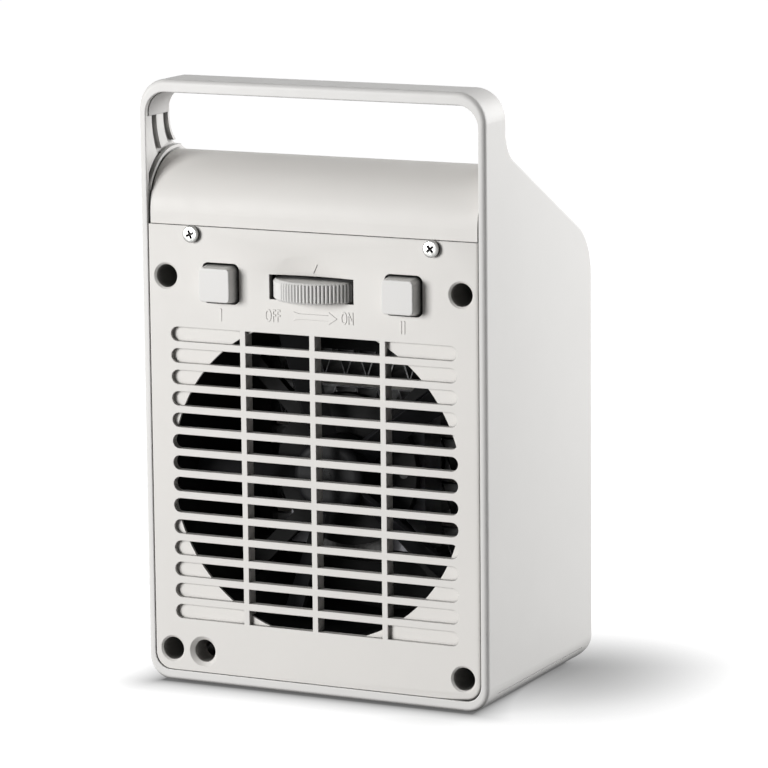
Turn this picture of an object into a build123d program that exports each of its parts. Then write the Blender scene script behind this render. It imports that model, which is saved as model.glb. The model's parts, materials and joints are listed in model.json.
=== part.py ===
from build123d import *
from math import cos, radians, sqrt, tan
import os

# Ceramic space heater, seen from its rear, which carries the intake grille and the controls.
# X runs across, the rear face looks along +Y, Z is up from the floor. Millimetres.
# A depth is measured from the rear rim towards the outlet, a height from the body's underside.

# Width and walls
body_width = 156.0
side_wall = 3.2
bottom_wall = 4.5
handle_bar = 5.2
handle_depth = 20.5
foot_height = 1.5

# Corner rounds of the outer shell
top_corner_radius = 12.5
bottom_corner_radius = 10.0
handle_inner_radius = 9.0
seam_corner_radius = 7.0
knee_radius = 15.0
shoulder_radius = 25.0
toe_radius = 10.0
rim_round = 2.0
rim_inner_round = 0.4
front_edge_round = 1.5
slope_angle = 28.4

# Intake grille
slot_rows = 14
slot_pitch = 9.0
slot_height = 6.1
slot_margin = 9.8
slot_recess = 2.0
grille_foot = 25.4
grille_bars = 3
bar_spacing = 31.75
bar_width = 2.4
bar_depth = 5.7
fan_rise = 1.0

# Rear cover
cover_recess = 0.6
cover_thickness = 3.2
cover_gap = 0.25
control_gap = 22.2
seam_gap = 23.3

# Top cover
roll_height = 27.6
roll_radius = 22.8
roll_inset = 1.2
crest_radius = 15.0
cover_skin = 2.2
roll_gap = 0.9
top_gap = 0.5
flange_thickness = 2.4
flange_drop = 8.0
flange_lap = 6.0

# Handle opening, liner and the grooves below it
hand_room = 26.8
knee_rise = 6.6
liner_thickness = 1.5
liner_proud = 0.4
liner_lip = 2.2
liner_front_lip = 1.1
liner_leg = 10.6
liner_gap = 0.1
groove_width = 4.0
groove_depth = 2.0
groove_insets = (3.4, 13.2)
channel_width = 2.0
bead_width = 1.3
bead_height = 0.8
bead_gap = 1.4
bead_end = 29.0
parting_height = 6.3
parting_width = 0.35
parting_bite = 1.0

# Screw wells and their bosses
well_inset = 8.0
well_rise = 1.7
well_foot = 9.0
well_radius = 4.8
well_wall = 1.4
well_depth = 21.4
well_floor = 2.0
well_mouth = 0.8
boss_radius = 5.0
boss_length = 26.0
web_thickness = 3.0

# Cord inlet
inlet_inset = 22.4
inlet_radius = 4.75
inlet_flare = 1.7
inlet_wall = 2.2
inlet_length = 11.4

# Push buttons and switches
button_spread = 82.8
button_size = 15.6
button_corner = 2.5
button_edge = 0.5
button_draft = 8.0
button_proud = 6.2
button_length = 15.2
button_travel = 3.0
button_clearance = 0.35
sleeve_wall = 1.6
stem_size = 5.0
stem_length = 7.0
stem_clearance = 0.3
switch_size = 21.0
switch_length = 16.0

# Thermostat
wheel_radius = 20.0
wheel_proud = 9.2
wheel_height = 8.7
wheel_bevel = 1.0
wheel_clearance = 0.35
wheel_headroom = 1.3
wheel_footroom = 0.2
knurl_ribs = 66
knurl_start = 60.0
knurl_sweep = 300.0
knurl_size = 0.75
spindle_radius = 3.0
spindle_fit = 0.05
scoop_radius = 90.0
scoop_reach = 10.0
bracket_gap = 2.0
bracket_sheet = 1.2
bracket_half = 28.0
bracket_depth = 22.0
bracket_screw_spread = 48.0
bracket_post = 5.2
post_radius = 3.5
thermostat_width = 26.0
thermostat_depth = 22.0
thermostat_height = 14.0
spindle_engage = 12.0

# Fan and duct
aperture_margin = 4.7
duct_wall = 2.0
duct_clearance = 0.3
lug_width = 8.0
lug_thickness = 3.0
lug_post = 4.2
lug_offset = 5.0
impeller_gap = 5.7
impeller_depth = 16.0
impeller_tip_gap = 3.5
hub_radius = 16.0
hub_round = 4.0
blade_count = 5
blade_thickness = 2.0
blade_root_angle = 48.0
blade_tip_angle = 30.0
spider_gap = 3.0
spider_thickness = 4.0
spider_arms = 4
arm_width = 7.0
spider_ring = 32.0
spider_bore = 14.0

# Motor
motor_shaft_radius = 2.5
bearing_fit = 0.05
bush_radius = 5.0
bush_length = 5.0
bush_boss_wall = 3.0
bracket_plate = 2.0
bracket_leg = 4.0
stack_thickness = 16.0
stack_half_width = 31.0
stack_top = 24.0
rotor_radius = 12.0
air_gap = 0.5
core_leg = 9.0
coil_window = 11.0
coil_window_half = 16.0
coil_drop = 15.0
coil_build = 5.0
coil_round = 4.0
coil_clearance = 0.3
motor_screw_spread = 52.0
motor_screw_radius = 2.0
motor_room = 3.0

# Heater block
duct_flange = 4.0
flange_side_gap = 3.8
frame_flange = 3.0
frame_wall = 2.5
frame_lip = 2.0
fin_rows = 5
fin_row_height = 15.0
fin_depth = 17.0
fin_sheet = 0.6
fin_folds = 22
ceramic_thickness = 2.4
electrode_thickness = 0.8
stack_width = 110.0
stack_end_gap = 0.2
cutout_radius = 8.0
cutout_height = 7.0
cutout_cap = 5.6
fuse_radius = 2.0
fuse_length = 14.0

# Front grille
front_gap = 7.0
rib_depth = 6.2
rib_width = 3.0
front_skin = 2.5
front_recess = 0.9
front_joint = 19.0
joint_gap = 0.3
tongue_length = 8.0
tongue_thickness = 2.0
louvre_pitch = 9.0
louvre_count = 13
louvre_thickness = 2.0
louvre_depth = 8.0
louvre_tilt = 25.0
window_margin = 14.0
front_bar_depth = 4.0
hook_width = 10.0
hook_thickness = 1.6
hook_barb = 1.2
hook_spread = 90.0
hook_play = 0.2

# Feet and terminal block
foot_radius = 7.0
foot_seat = 1.5
foot_inset = 19.0
foot_gap = 0.2
terminal_width = 16.0
terminal_length = 22.0
terminal_height = 14.0
terminal_poles = 3

# Screws
head_radius = 3.5
head_height = 2.2
head_crown = 1.3
screw_radius = 1.7
screw_hole = 1.9
pilot_fit = 0.05
pilot_room = 1.0
screw_length = 10.0
small_screw_length = 6.0

# Heights, from the underside upwards
half_width = body_width / 2
inner_half = half_width - side_wall
cover_half = inner_half - cover_gap
grille_low = bottom_wall + grille_foot
grille_span = (slot_rows - 1) * slot_pitch
grille_middle = grille_low + grille_span / 2
fan_height = grille_middle + fan_rise
control_height = grille_low + grille_span + control_gap
seam_height = control_height + seam_gap
crest_height = seam_height + roll_height
handle_inside = crest_height + hand_room
body_height = handle_inside + handle_bar
knee_height = crest_height + knee_rise
liner_foot = handle_inside - liner_leg

# Depths, from the rear rim inwards
cover_back = cover_recess + cover_thickness
bar_back = cover_recess + bar_depth
impeller_rear = bar_back + impeller_gap
impeller_front = impeller_rear + impeller_depth
spider_rear = impeller_front + spider_gap
spider_front = spider_rear + spider_thickness
stack_rear = spider_front + bracket_plate + bracket_leg
stack_front = stack_rear + stack_thickness
stack_middle = (stack_rear + stack_front) / 2
motor_front = stack_front + bracket_leg + bracket_plate
duct_front = motor_front + motor_room
fins_rear = duct_front + frame_flange + frame_lip
fins_front = fins_rear + fin_depth
frame_front = fins_front + frame_lip
rib_rear = frame_front + front_gap
panel_back = rib_rear + rib_depth
body_depth = panel_back + front_skin + front_recess
wheel_axis = wheel_radius - wheel_proud
rear_y = (body_depth - wheel_proud) / 2

# Sizes shared by several pieces
slope = tan(radians(slope_angle))
well_x = inner_half - well_inset
well_high = control_height + well_rise
well_low = bottom_wall + well_foot
well_end = cover_recess + well_depth
inlet_x = inner_half - inlet_inset
slot_half = inner_half - slot_margin
aperture_radius = min(
    grille_span / 2 + slot_height / 2 + aperture_margin,
    inner_half - lug_offset - duct_wall - duct_clearance,
)
duct_inner = aperture_radius + duct_clearance
duct_outer = duct_inner + duct_wall
impeller_radius = duct_inner - impeller_tip_gap
flange_half = inner_half - flange_side_gap
button_hole = button_size + 2 * button_clearance
sleeve_size = button_hole + 2 * sleeve_wall
button_back = button_length - button_proud
sleeve_end = button_back + button_travel + sleeve_wall
wheel_chord = sqrt(wheel_radius**2 - (wheel_axis - cover_back) ** 2)
wheel_slot_half = wheel_chord + wheel_clearance
wheel_slot_height = wheel_footroom + wheel_height + wheel_headroom
wheel_low = control_height - wheel_slot_height / 2 + wheel_footroom
wheel_top = wheel_low + wheel_height
bracket_base = wheel_top + bracket_gap
bracket_top = bracket_base + bracket_sheet
bracket_rear = cover_back + bracket_post
post_height = bracket_top + head_radius + top_gap
ear_top = post_height + post_radius
screw_seam = seam_height - head_radius
screw_x = inner_half - 3 * head_radius - 2 * boss_radius
pilot_radius = screw_radius + pilot_fit
lug_radius = duct_outer + lug_offset
lug_end = lug_radius + lug_width / 2
stack_bottom = coil_drop + coil_window + core_leg
electrode_pair = ceramic_thickness + 2 * electrode_thickness
row_step = fin_row_height + electrode_pair
block_height = fin_rows * fin_row_height + (fin_rows - 1) * electrode_pair
block_low = fan_height - block_height / 2
frame_half = stack_width / 2 + stack_end_gap

os.makedirs("parts", exist_ok=True)


def behind(depth):
    """Plane across the heater at a depth, facing inwards, with X across and Z up."""
    return Plane.XZ.offset(depth - rear_y)


def level(height):
    """Horizontal plane at a height above the body's underside."""
    return Plane.XY.offset(foot_height + height)


def side(depth, height):
    """Point of the side view, on the YZ plane."""
    return (rear_y - depth, foot_height + height)


def across(x, height):
    """Point of the rear view, on a plane across the heater."""
    return (x, foot_height + height)


def slope_height(depth, inset):
    """Height of the slanted top at a depth, sunk square to the slope by an inset."""
    return knee_height - slope * (depth - handle_depth) - inset * sqrt(1 + slope**2)


def upright(half, low, high, low_radius, high_radius):
    """Face with an upright rounded outline, for a sketch across the heater."""
    corners = (across(-half, low), across(half, low), across(half, high), across(-half, high))
    with BuildLine(mode=Mode.PRIVATE) as outline:
        FilletPolyline(*corners, radius=[low_radius, low_radius, high_radius, high_radius], close=True)
    return make_face(outline.line.edges(), mode=Mode.PRIVATE)


def skin(points, radii, thickness):
    """Face of a bent sheet: its outer line, and the same line moved inwards."""
    with BuildSketch(mode=Mode.PRIVATE) as sheet:
        with BuildLine():
            outer = FilletPolyline(*points, radius=radii)
            offset(outer, amount=thickness, side=Side.LEFT)
        make_face()
    return sheet.sketch


def roll_line(gap):
    """Corners of a line over the rolled cover, at a gap from it, on the YZ plane."""
    rear = roll_inset - gap
    high = crest_height + gap
    return [side(rear, seam_height), side(rear, high), side(bead_end, high)]


def save(piece, name):
    """Label a finished piece and write it."""
    piece.part.label = name
    export_step(piece.part, f"parts/{name}.step")


def screws(places, seat, length, towards_front=True):
    """Group of equal pan-head screws, whose heads sit on a face at a depth."""
    head_start = seat - head_height if towards_front else seat
    shank_start = seat if towards_front else seat - length
    with BuildPart() as group:
        with BuildSketch(behind(head_start)):
            with Locations(*places):
                Circle(head_radius)
        extrude(amount=head_height)
        crowns = group.faces().filter_by(Axis.Y).group_by(Axis.Y)[-1 if towards_front else 0]
        fillet(crowns.edges(), head_crown)
        with BuildSketch(behind(shank_start)):
            with Locations(*places):
                Circle(screw_radius)
        extrude(amount=length)
    return group


well_places = [across(x, z) for x in (-well_x, well_x) for z in (well_low, well_high)]
button_places = [across(x, control_height) for x in (button_spread / 2, -button_spread / 2)]
cover_screw_places = [across(x, screw_seam) for x in (-screw_x, screw_x)]
post_places = [across(x, post_height) for x in (-bracket_screw_spread / 2, bracket_screw_spread / 2)]
lug_reach = lug_radius * cos(radians(45))
lug_places = [across(x, fan_height + z) for x in (-lug_reach, lug_reach) for z in (-lug_reach, lug_reach)]
rows = [grille_low + row * slot_pitch for row in range(slot_rows)]
bars = [(bar - (grille_bars - 1) / 2) * bar_spacing for bar in range(grille_bars)]
front_height = slope_height(body_depth, 0)

# Outer shell: the side view gives the slant and the handle, the rear view its rounded corners
with BuildPart() as outer_shell:
    with BuildSketch(Plane.YZ):
        with BuildLine():
            FilletPolyline(
                side(0, 0),
                side(0, body_height),
                side(handle_depth, body_height),
                side(handle_depth, knee_height),
                side(body_depth, front_height),
                side(body_depth, 0),
                radius=[0, 0, 0, knee_radius, shoulder_radius, toe_radius],
                close=True,
            )
        make_face()
    extrude(amount=half_width, both=True)
    with BuildSketch(behind(0)):
        add(upright(half_width, 0, body_height, bottom_corner_radius, top_corner_radius))
    extrude(amount=body_depth, mode=Mode.INTERSECT)
    fillet(outer_shell.faces().sort_by(Axis.Y)[-1].edges(), rim_round)
    side_low = foot_height + bottom_corner_radius
    side_high = foot_height + body_height - top_corner_radius
    side_edges = outer_shell.faces().filter_by(Axis.X).edges()
    side_edges = side_edges.filter_by_position(Axis.Z, side_low, side_high, (False, False))
    side_edges = side_edges.filter_by_position(Axis.Y, rear_y - body_depth, rear_y - 2 * rim_round)
    fillet(side_edges, front_edge_round)
    with BuildSketch(behind(0)):
        add(upright(inner_half, bottom_wall, handle_inside, seam_corner_radius, handle_inner_radius))
    extrude(amount=body_depth, mode=Mode.SUBTRACT)
    fillet(outer_shell.faces().sort_by(Axis.Y)[-1].inner_wires()[0].edges(), rim_inner_round)

    # Channel that holds the handle liner between two lips
    with BuildSketch(behind(liner_lip)):
        add(
            upright(
                inner_half + liner_thickness,
                liner_foot,
                handle_inside + liner_thickness,
                0,
                handle_inner_radius + liner_thickness,
            )
        )
    extrude(amount=handle_depth - liner_lip - liner_front_lip, mode=Mode.SUBTRACT)

    # Grooves below the liner, alongside the wall's front edge, down to a channel over the bead of the roll
    bend_depth = handle_depth + knee_radius
    channel_gap = bead_gap + (bead_width + channel_width) / 2
    for hand in (-1, 1):
        with BuildSketch(Plane.YZ.offset(hand * inner_half)):
            for inset in groove_insets:
                groove = handle_depth - inset
                with BuildLine():
                    FilletPolyline(
                        side(groove, liner_foot),
                        side(groove, slope_height(groove, inset)),
                        side(bend_depth, slope_height(bend_depth, inset)),
                        radius=knee_radius + inset,
                    )
                trace(line_width=groove_width)
            with BuildLine():
                FilletPolyline(*roll_line(channel_gap), radius=roll_radius + channel_gap)
            trace(line_width=channel_width)
            with BuildLine() as bead_line:
                FilletPolyline(*roll_line(bead_gap), radius=roll_radius + bead_gap)
                bead_front = side(body_depth, crest_height + bead_gap)
                Polyline(bead_line.line @ 1, bead_front, side(body_depth, seam_height), bead_line.line @ 0)
            make_face(mode=Mode.SUBTRACT)
            with Locations(side(rim_round + bend_depth / 2, crest_height)):
                Rectangle(bend_depth, 2 * roll_radius, mode=Mode.INTERSECT)
        extrude(amount=hand * groove_depth, mode=Mode.SUBTRACT)
        with BuildSketch(Plane.YZ.offset(hand * (inner_half + bead_height))):
            with BuildLine():
                FilletPolyline(*roll_line(bead_gap), radius=roll_radius + bead_gap)
            trace(line_width=bead_width)
            with Locations(side(bead_end / 2 + rim_round, crest_height)):
                Rectangle(bead_end, 2 * roll_radius - bead_end / 2, mode=Mode.INTERSECT)
        extrude(amount=-hand * 2 * bead_height)

    # Bosses behind the wells, webbed to the side walls
    with BuildSketch(behind(well_end)):
        with Locations(*well_places):
            Circle(boss_radius)
        for hand in (-1, 1):
            for height in (well_low, well_high):
                with Locations(across(hand * (well_x + well_inset / 2), height)):
                    Rectangle(well_inset + side_wall, web_thickness)
    extrude(amount=boss_length)
    with BuildSketch(behind(well_end)):
        with Locations(*well_places):
            Circle(pilot_radius)
    extrude(amount=screw_length - well_floor + pilot_room, mode=Mode.SUBTRACT)

    # Ribs that the front grille stops against
    rib_low = bottom_wall + toe_radius
    rib_high = front_height - shoulder_radius
    rib_root = rib_width + side_wall / 2
    rib_x = inner_half - rib_width + rib_root / 2
    with BuildSketch(behind(rib_rear)):
        for hand in (-1, 1):
            with Locations(across(hand * rib_x, (rib_low + rib_high) / 2)):
                Rectangle(rib_root, rib_high - rib_low)
    extrude(amount=rib_depth)

    # Recesses for the feet and the fine parting lines of the side walls
    with BuildSketch(level(0)):
        for hand in (-1, 1):
            for depth in (foot_inset, body_depth - foot_inset):
                with Locations((hand * (half_width - foot_inset), rear_y - depth)):
                    Circle(foot_radius + foot_gap)
    extrude(amount=foot_seat, mode=Mode.SUBTRACT)
    for hand in (-1, 1):
        with BuildSketch(Plane.YZ.offset(hand * half_width)):
            with Locations(side(body_depth / 2, parting_height)):
                Rectangle(body_depth - 2 * toe_radius, parting_width)
        extrude(amount=-hand * parting_bite, mode=Mode.SUBTRACT)
save(outer_shell, "outer_shell")

# Handle liner: an inverted U held in the channel of the shell
with BuildPart() as handle_liner:
    with BuildSketch(behind(liner_lip + liner_gap)):
        add(
            upright(
                inner_half + liner_thickness - liner_gap,
                liner_foot + liner_gap,
                handle_inside + liner_thickness - liner_gap,
                0,
                handle_inner_radius + liner_thickness - liner_gap,
            )
        )
        add(
            upright(
                inner_half - liner_proud,
                liner_foot - liner_leg,
                handle_inside - liner_proud,
                0,
                handle_inner_radius - liner_proud,
            ),
            mode=Mode.SUBTRACT,
        )
    extrude(amount=handle_depth - liner_lip - liner_front_lip - 2 * liner_gap)
save(handle_liner, "handle_liner")

# Rear cover: plate, blind slots, round aperture, bars, wells, inlet, sleeves, wheel slot
with BuildPart() as rear_cover:
    with BuildSketch(behind(cover_recess)):
        add(upright(cover_half, bottom_wall + cover_gap, seam_height - cover_gap, seam_corner_radius, 0))
    extrude(amount=cover_thickness)
    with BuildSketch(behind(cover_recess)):
        for row in rows:
            with Locations(across(0, row)):
                SlotOverall(2 * slot_half, slot_height)
    extrude(amount=slot_recess, mode=Mode.SUBTRACT)
    with BuildSketch(behind(cover_recess)):
        for row in rows:
            with Locations(across(0, row)):
                SlotOverall(2 * slot_half, slot_height)
        with Locations(across(0, fan_height)):
            Circle(aperture_radius, mode=Mode.INTERSECT)
    extrude(amount=cover_thickness, mode=Mode.SUBTRACT)
    with BuildSketch(behind(cover_recess)):
        for bar in bars:
            with Locations(across(bar, grille_middle)):
                Rectangle(bar_width, grille_span + slot_height)
    extrude(amount=cover_thickness)
    with BuildSketch(behind(cover_recess)):
        for bar in bars:
            with Locations(across(bar, grille_middle)):
                Rectangle(bar_width, grille_span + slot_height)
        with Locations(across(0, fan_height)):
            Circle(aperture_radius, mode=Mode.INTERSECT)
    extrude(amount=bar_depth)

    # Tubes, posts and sleeves stand on the inside of the plate
    with BuildSketch(behind(cover_back)):
        with Locations(*well_places):
            Circle(well_radius + well_wall)
    extrude(amount=well_end - cover_back)
    with BuildSketch(behind(cover_back)):
        with Locations(across(inlet_x, well_low)):
            Circle(inlet_radius + inlet_wall)
    extrude(amount=inlet_length - cover_thickness)
    with BuildSketch(behind(cover_back)):
        with Locations(*button_places):
            RectangleRounded(sleeve_size, sleeve_size, button_corner + sleeve_wall)
    extrude(amount=sleeve_end - cover_back)
    with BuildSketch(behind(cover_back)):
        with Locations(*post_places):
            Circle(post_radius)
    extrude(amount=bracket_post)
    with BuildSketch(behind(cover_back)):
        with Locations(*lug_places):
            Circle(post_radius)
    extrude(amount=lug_post)

    # Holes through them
    with BuildSketch(behind(cover_recess)):
        with Locations(*well_places):
            Circle(well_radius)
    extrude(amount=well_depth - well_floor, mode=Mode.SUBTRACT)
    with BuildSketch(behind(cover_recess)):
        with Locations(*well_places, *cover_screw_places):
            Circle(screw_hole)
        with Locations(across(inlet_x, well_low)):
            Circle(inlet_radius)
        with Locations(*button_places):
            RectangleRounded(button_hole, button_hole, button_corner)
        with Locations(across(0, control_height)):
            Rectangle(2 * wheel_slot_half, wheel_slot_height)
    extrude(amount=well_depth, mode=Mode.SUBTRACT)
    with BuildSketch(behind(cover_back)):
        with Locations(*post_places, *lug_places):
            Circle(pilot_radius)
    extrude(amount=max(bracket_post, lug_post), mode=Mode.SUBTRACT)

    # Mouths of the wells and of the cord inlet
    mouths = rear_cover.faces().filter_by(Axis.Y).sort_by(Axis.Y)[-1].edges().filter_by(GeomType.CIRCLE)
    chamfer(mouths.filter_by(lambda edge: abs(edge.radius - inlet_radius) < pilot_fit / 2), inlet_flare)
    mouths = rear_cover.faces().filter_by(Axis.Y).sort_by(Axis.Y)[-1].edges().filter_by(GeomType.CIRCLE)
    chamfer(mouths.filter_by(lambda edge: abs(edge.radius - well_radius) < pilot_fit / 2), well_mouth)

    # Shallow scoop above the wheel slot, part of a large sphere
    scoop_edge = (wheel_slot_half**2 + scoop_reach**2) / (2 * scoop_reach)
    scoop_low = control_height + wheel_slot_height / 2 + scoop_reach - scoop_edge
    scoop_centre = cover_recess - sqrt(scoop_radius**2 - scoop_edge**2)
    with Locations((0, rear_y - scoop_centre, foot_height + scoop_low)):
        ball = Sphere(scoop_radius, mode=Mode.PRIVATE)
    with Locations((0, rear_y, foot_height + control_height + scoop_radius)):
        half_space = Box(2 * wheel_slot_half, 4 * cover_thickness, 2 * scoop_radius, mode=Mode.PRIVATE)
    add(ball.intersect(half_space), mode=Mode.SUBTRACT)
save(rear_cover, "rear_cover")

# Top cover: one bent sheet from the seam over the roll and down the slope, with a flange behind the seam
joint_depth = body_depth - front_joint
crest_depth = handle_depth + (knee_rise - front_recess * sqrt(1 + slope**2)) / slope
with BuildPart() as top_cover:
    with BuildSketch(Plane.YZ):
        add(
            skin(
                [
                    side(roll_inset, seam_height),
                    side(roll_inset, crest_height),
                    side(crest_depth, crest_height),
                    side(joint_depth, slope_height(joint_depth, front_recess)),
                ],
                [roll_radius, crest_radius],
                cover_skin,
            )
        )
    extrude(amount=inner_half - roll_gap, both=True)
    with BuildSketch(behind(cover_back)):
        with Locations(across(0, seam_height + (flange_lap - flange_drop) / 2)):
            Rectangle(2 * (inner_half - well_inset), flange_lap + flange_drop)
    extrude(amount=flange_thickness)
    with BuildSketch(behind(cover_back)):
        with Locations(*cover_screw_places):
            Circle(pilot_radius)
    extrude(amount=flange_thickness, mode=Mode.SUBTRACT)
    with BuildSketch(behind(roll_inset + cover_skin / 2)):
        with Locations(across(0, seam_height + flange_lap / 2)):
            Rectangle(2 * (inner_half - well_inset), flange_lap)
    extrude(amount=cover_back - roll_inset - cover_skin / 2)
save(top_cover, "top_cover")

# Front grille: bent panel with a louvred window, a tongue under the top cover and snap hooks
window_low = bottom_wall + toe_radius + window_margin
window_high = window_low + louvre_count * louvre_pitch
window_half = inner_half - window_margin
panel_front = body_depth - front_recess
tongue_inset = front_recess + cover_skin
tongue_start = joint_depth - tongue_length
tongue_end = joint_depth + tongue_length / 2
hook_x = inner_half - rib_width - hook_play
with BuildPart() as front_grille:
    with BuildSketch(Plane.YZ):
        add(
            skin(
                [
                    side(joint_depth + joint_gap, slope_height(joint_depth + joint_gap, front_recess)),
                    side(panel_front, slope_height(panel_front, front_recess)),
                    side(panel_front, front_recess),
                    side(panel_front - 2 * toe_radius, front_recess),
                ],
                [shoulder_radius - front_recess, toe_radius - front_recess],
                front_skin,
            )
        )
        with BuildLine():
            Polyline(
                side(tongue_start, slope_height(tongue_start, tongue_inset)),
                side(tongue_end, slope_height(tongue_end, tongue_inset)),
                side(tongue_end, slope_height(tongue_end, tongue_inset + tongue_thickness)),
                side(tongue_start, slope_height(tongue_start, tongue_inset + tongue_thickness)),
                close=True,
            )
        make_face()
        with Locations(side(panel_front, bottom_wall - 2 * toe_radius)):
            Rectangle(8 * toe_radius, 4 * toe_radius, mode=Mode.SUBTRACT)
    extrude(amount=inner_half - top_gap, both=True)
    with BuildSketch(behind(0)):
        add(upright(inner_half - top_gap, bottom_wall, body_height, seam_corner_radius, 0))
    extrude(amount=body_depth, mode=Mode.INTERSECT)
    with BuildSketch(behind(panel_back)):
        with Locations(across(0, (window_low + window_high) / 2)):
            Rectangle(2 * window_half, window_high - window_low)
    extrude(amount=front_skin, mode=Mode.SUBTRACT)
    with BuildSketch(Plane.YZ):
        for louvre in range(louvre_count):
            middle = window_low + (louvre + 0.5) * louvre_pitch
            with Locations(side(panel_front - louvre_depth / 2, middle)):
                Rectangle(louvre_depth, louvre_thickness, rotation=-louvre_tilt)
    extrude(amount=window_half + hook_thickness, both=True)
    with BuildSketch(behind(panel_front - front_bar_depth)):
        for bar in bars:
            with Locations(across(bar, (window_low + window_high) / 2)):
                Rectangle(bar_width, window_high - window_low)
    extrude(amount=front_bar_depth)

    # Snap hooks pass beside the stop ribs and catch behind them
    hook_heights = [(window_low + window_high) / 2 + end * hook_spread / 2 for end in (-1, 1)]
    hook_back = rib_rear - hook_play - hook_thickness
    with BuildSketch(behind(hook_back)):
        for height in hook_heights:
            for hand in (-1, 1):
                with Locations(across(hand * (hook_x - hook_thickness / 2), height)):
                    Rectangle(hook_thickness, hook_width)
    extrude(amount=panel_back - hook_back)
    with BuildSketch(behind(hook_back)):
        for height in hook_heights:
            for hand in (-1, 1):
                with Locations(across(hand * (hook_x + (hook_barb - hook_thickness) / 2), height)):
                    Rectangle(hook_thickness + hook_barb, hook_width)
    extrude(amount=hook_thickness)
save(front_grille, "front_grille")

# Feet
with BuildPart() as rubber_feet:
    with BuildSketch(Plane.XY):
        for hand in (-1, 1):
            for depth in (foot_inset, body_depth - foot_inset):
                with Locations((hand * (half_width - foot_inset), rear_y - depth)):
                    Circle(foot_radius)
    extrude(amount=foot_height + foot_seat)
    chamfer(rubber_feet.faces().group_by(Axis.Z)[0].edges(), foot_height / 2)
save(rubber_feet, "rubber_feet")

# Screws
cover_screws = screws(cover_screw_places, cover_recess, cover_thickness + flange_thickness)
save(cover_screws, "cover_screws")
corner_screws = screws(well_places, well_end - well_floor, screw_length)
save(corner_screws, "corner_screws")
bracket_screws = screws(post_places, bracket_rear + bracket_sheet, small_screw_length, False)
save(bracket_screws, "bracket_screws")
duct_screws = screws(lug_places, cover_back + lug_post + lug_thickness, small_screw_length, False)
save(duct_screws, "duct_screws")

# Push buttons with their stems, and the switches at the ends of the sleeves
for number, place in enumerate(button_places, start=1):
    with BuildPart() as power_button:
        with BuildSketch(behind(cover_recess)):
            with Locations(place):
                RectangleRounded(button_size, button_size, button_corner)
        extrude(amount=button_back)
        extrude(power_button.faces().sort_by(Axis.Y)[-1], amount=button_proud, taper=button_draft)
        fillet(power_button.faces().sort_by(Axis.Y)[-1].edges(), button_edge)
        with BuildSketch(behind(cover_recess + button_back)):
            with Locations(place):
                Rectangle(stem_size, stem_size)
        extrude(amount=stem_length + button_travel)
    save(power_button, f"power_button_{number}")

    with BuildPart() as switch_body:
        with BuildSketch(behind(sleeve_end)):
            with Locations(place):
                RectangleRounded(switch_size, switch_size, button_corner)
        extrude(amount=switch_length)
        with BuildSketch(behind(sleeve_end)):
            with Locations(place):
                Rectangle(stem_size + 2 * stem_clearance, stem_size + 2 * stem_clearance)
        extrude(amount=stem_length + 2 * button_travel, mode=Mode.SUBTRACT)
        with BuildSketch(behind(sleeve_end + switch_length)):
            with Locations(place):
                with GridLocations(switch_size / 2, switch_size / 2, 2, 2):
                    Rectangle(stem_size, bracket_sheet)
        extrude(amount=stem_length)
    save(switch_body, f"switch_body_{number}")

# Thermostat: knurled wheel on a spindle, body on a bent bracket screwed to two posts
axis_y = rear_y - wheel_axis
with BuildPart() as thermostat_wheel:
    with BuildSketch(level(wheel_low)):
        with Locations((0, axis_y)):
            Circle(wheel_radius)
    extrude(amount=wheel_height)
    chamfer(thermostat_wheel.edges().filter_by(GeomType.CIRCLE), wheel_bevel)
    with BuildSketch(level(wheel_low)):
        with Locations((0, axis_y)):
            with PolarLocations(wheel_radius, knurl_ribs, knurl_start, knurl_sweep):
                Rectangle(knurl_size, knurl_size, rotation=45)
            Circle(spindle_radius + spindle_fit)
    extrude(amount=wheel_height, mode=Mode.SUBTRACT)
save(thermostat_wheel, "thermostat_wheel")

with BuildPart() as thermostat_shaft:
    with BuildSketch(level(wheel_low)):
        with Locations((0, axis_y)):
            Circle(spindle_radius)
    extrude(amount=wheel_height + bracket_gap + bracket_sheet + spindle_engage)
save(thermostat_shaft, "thermostat_shaft")

with BuildPart() as thermostat_bracket:
    with BuildSketch(level(bracket_base)):
        with Locations((0, rear_y - bracket_rear - bracket_depth / 2)):
            Rectangle(2 * bracket_half, bracket_depth)
        with Locations((0, axis_y)):
            Circle(spindle_radius + screw_hole, mode=Mode.SUBTRACT)
    extrude(amount=bracket_sheet)
    with BuildSketch(behind(bracket_rear)):
        for hand in (-1, 1):
            with Locations(across(hand * bracket_screw_spread / 2, (bracket_base + ear_top) / 2)):
                Rectangle(2 * post_radius, ear_top - bracket_base)
        with Locations(*post_places):
            Circle(screw_hole, mode=Mode.SUBTRACT)
    extrude(amount=bracket_sheet)
save(thermostat_bracket, "thermostat_bracket")

with BuildPart() as thermostat_body:
    with BuildSketch(level(bracket_top)):
        with Locations((0, rear_y - bracket_rear - bracket_sheet - thermostat_depth / 2)):
            Rectangle(thermostat_width, thermostat_depth)
        with Locations((0, axis_y)):
            Circle(spindle_radius + bracket_sheet)
    extrude(amount=thermostat_height)
    with BuildSketch(level(bracket_top)):
        with Locations((0, axis_y)):
            Circle(spindle_radius + spindle_fit)
    extrude(amount=spindle_engage + bracket_sheet, mode=Mode.SUBTRACT)
save(thermostat_body, "thermostat_body")

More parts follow.
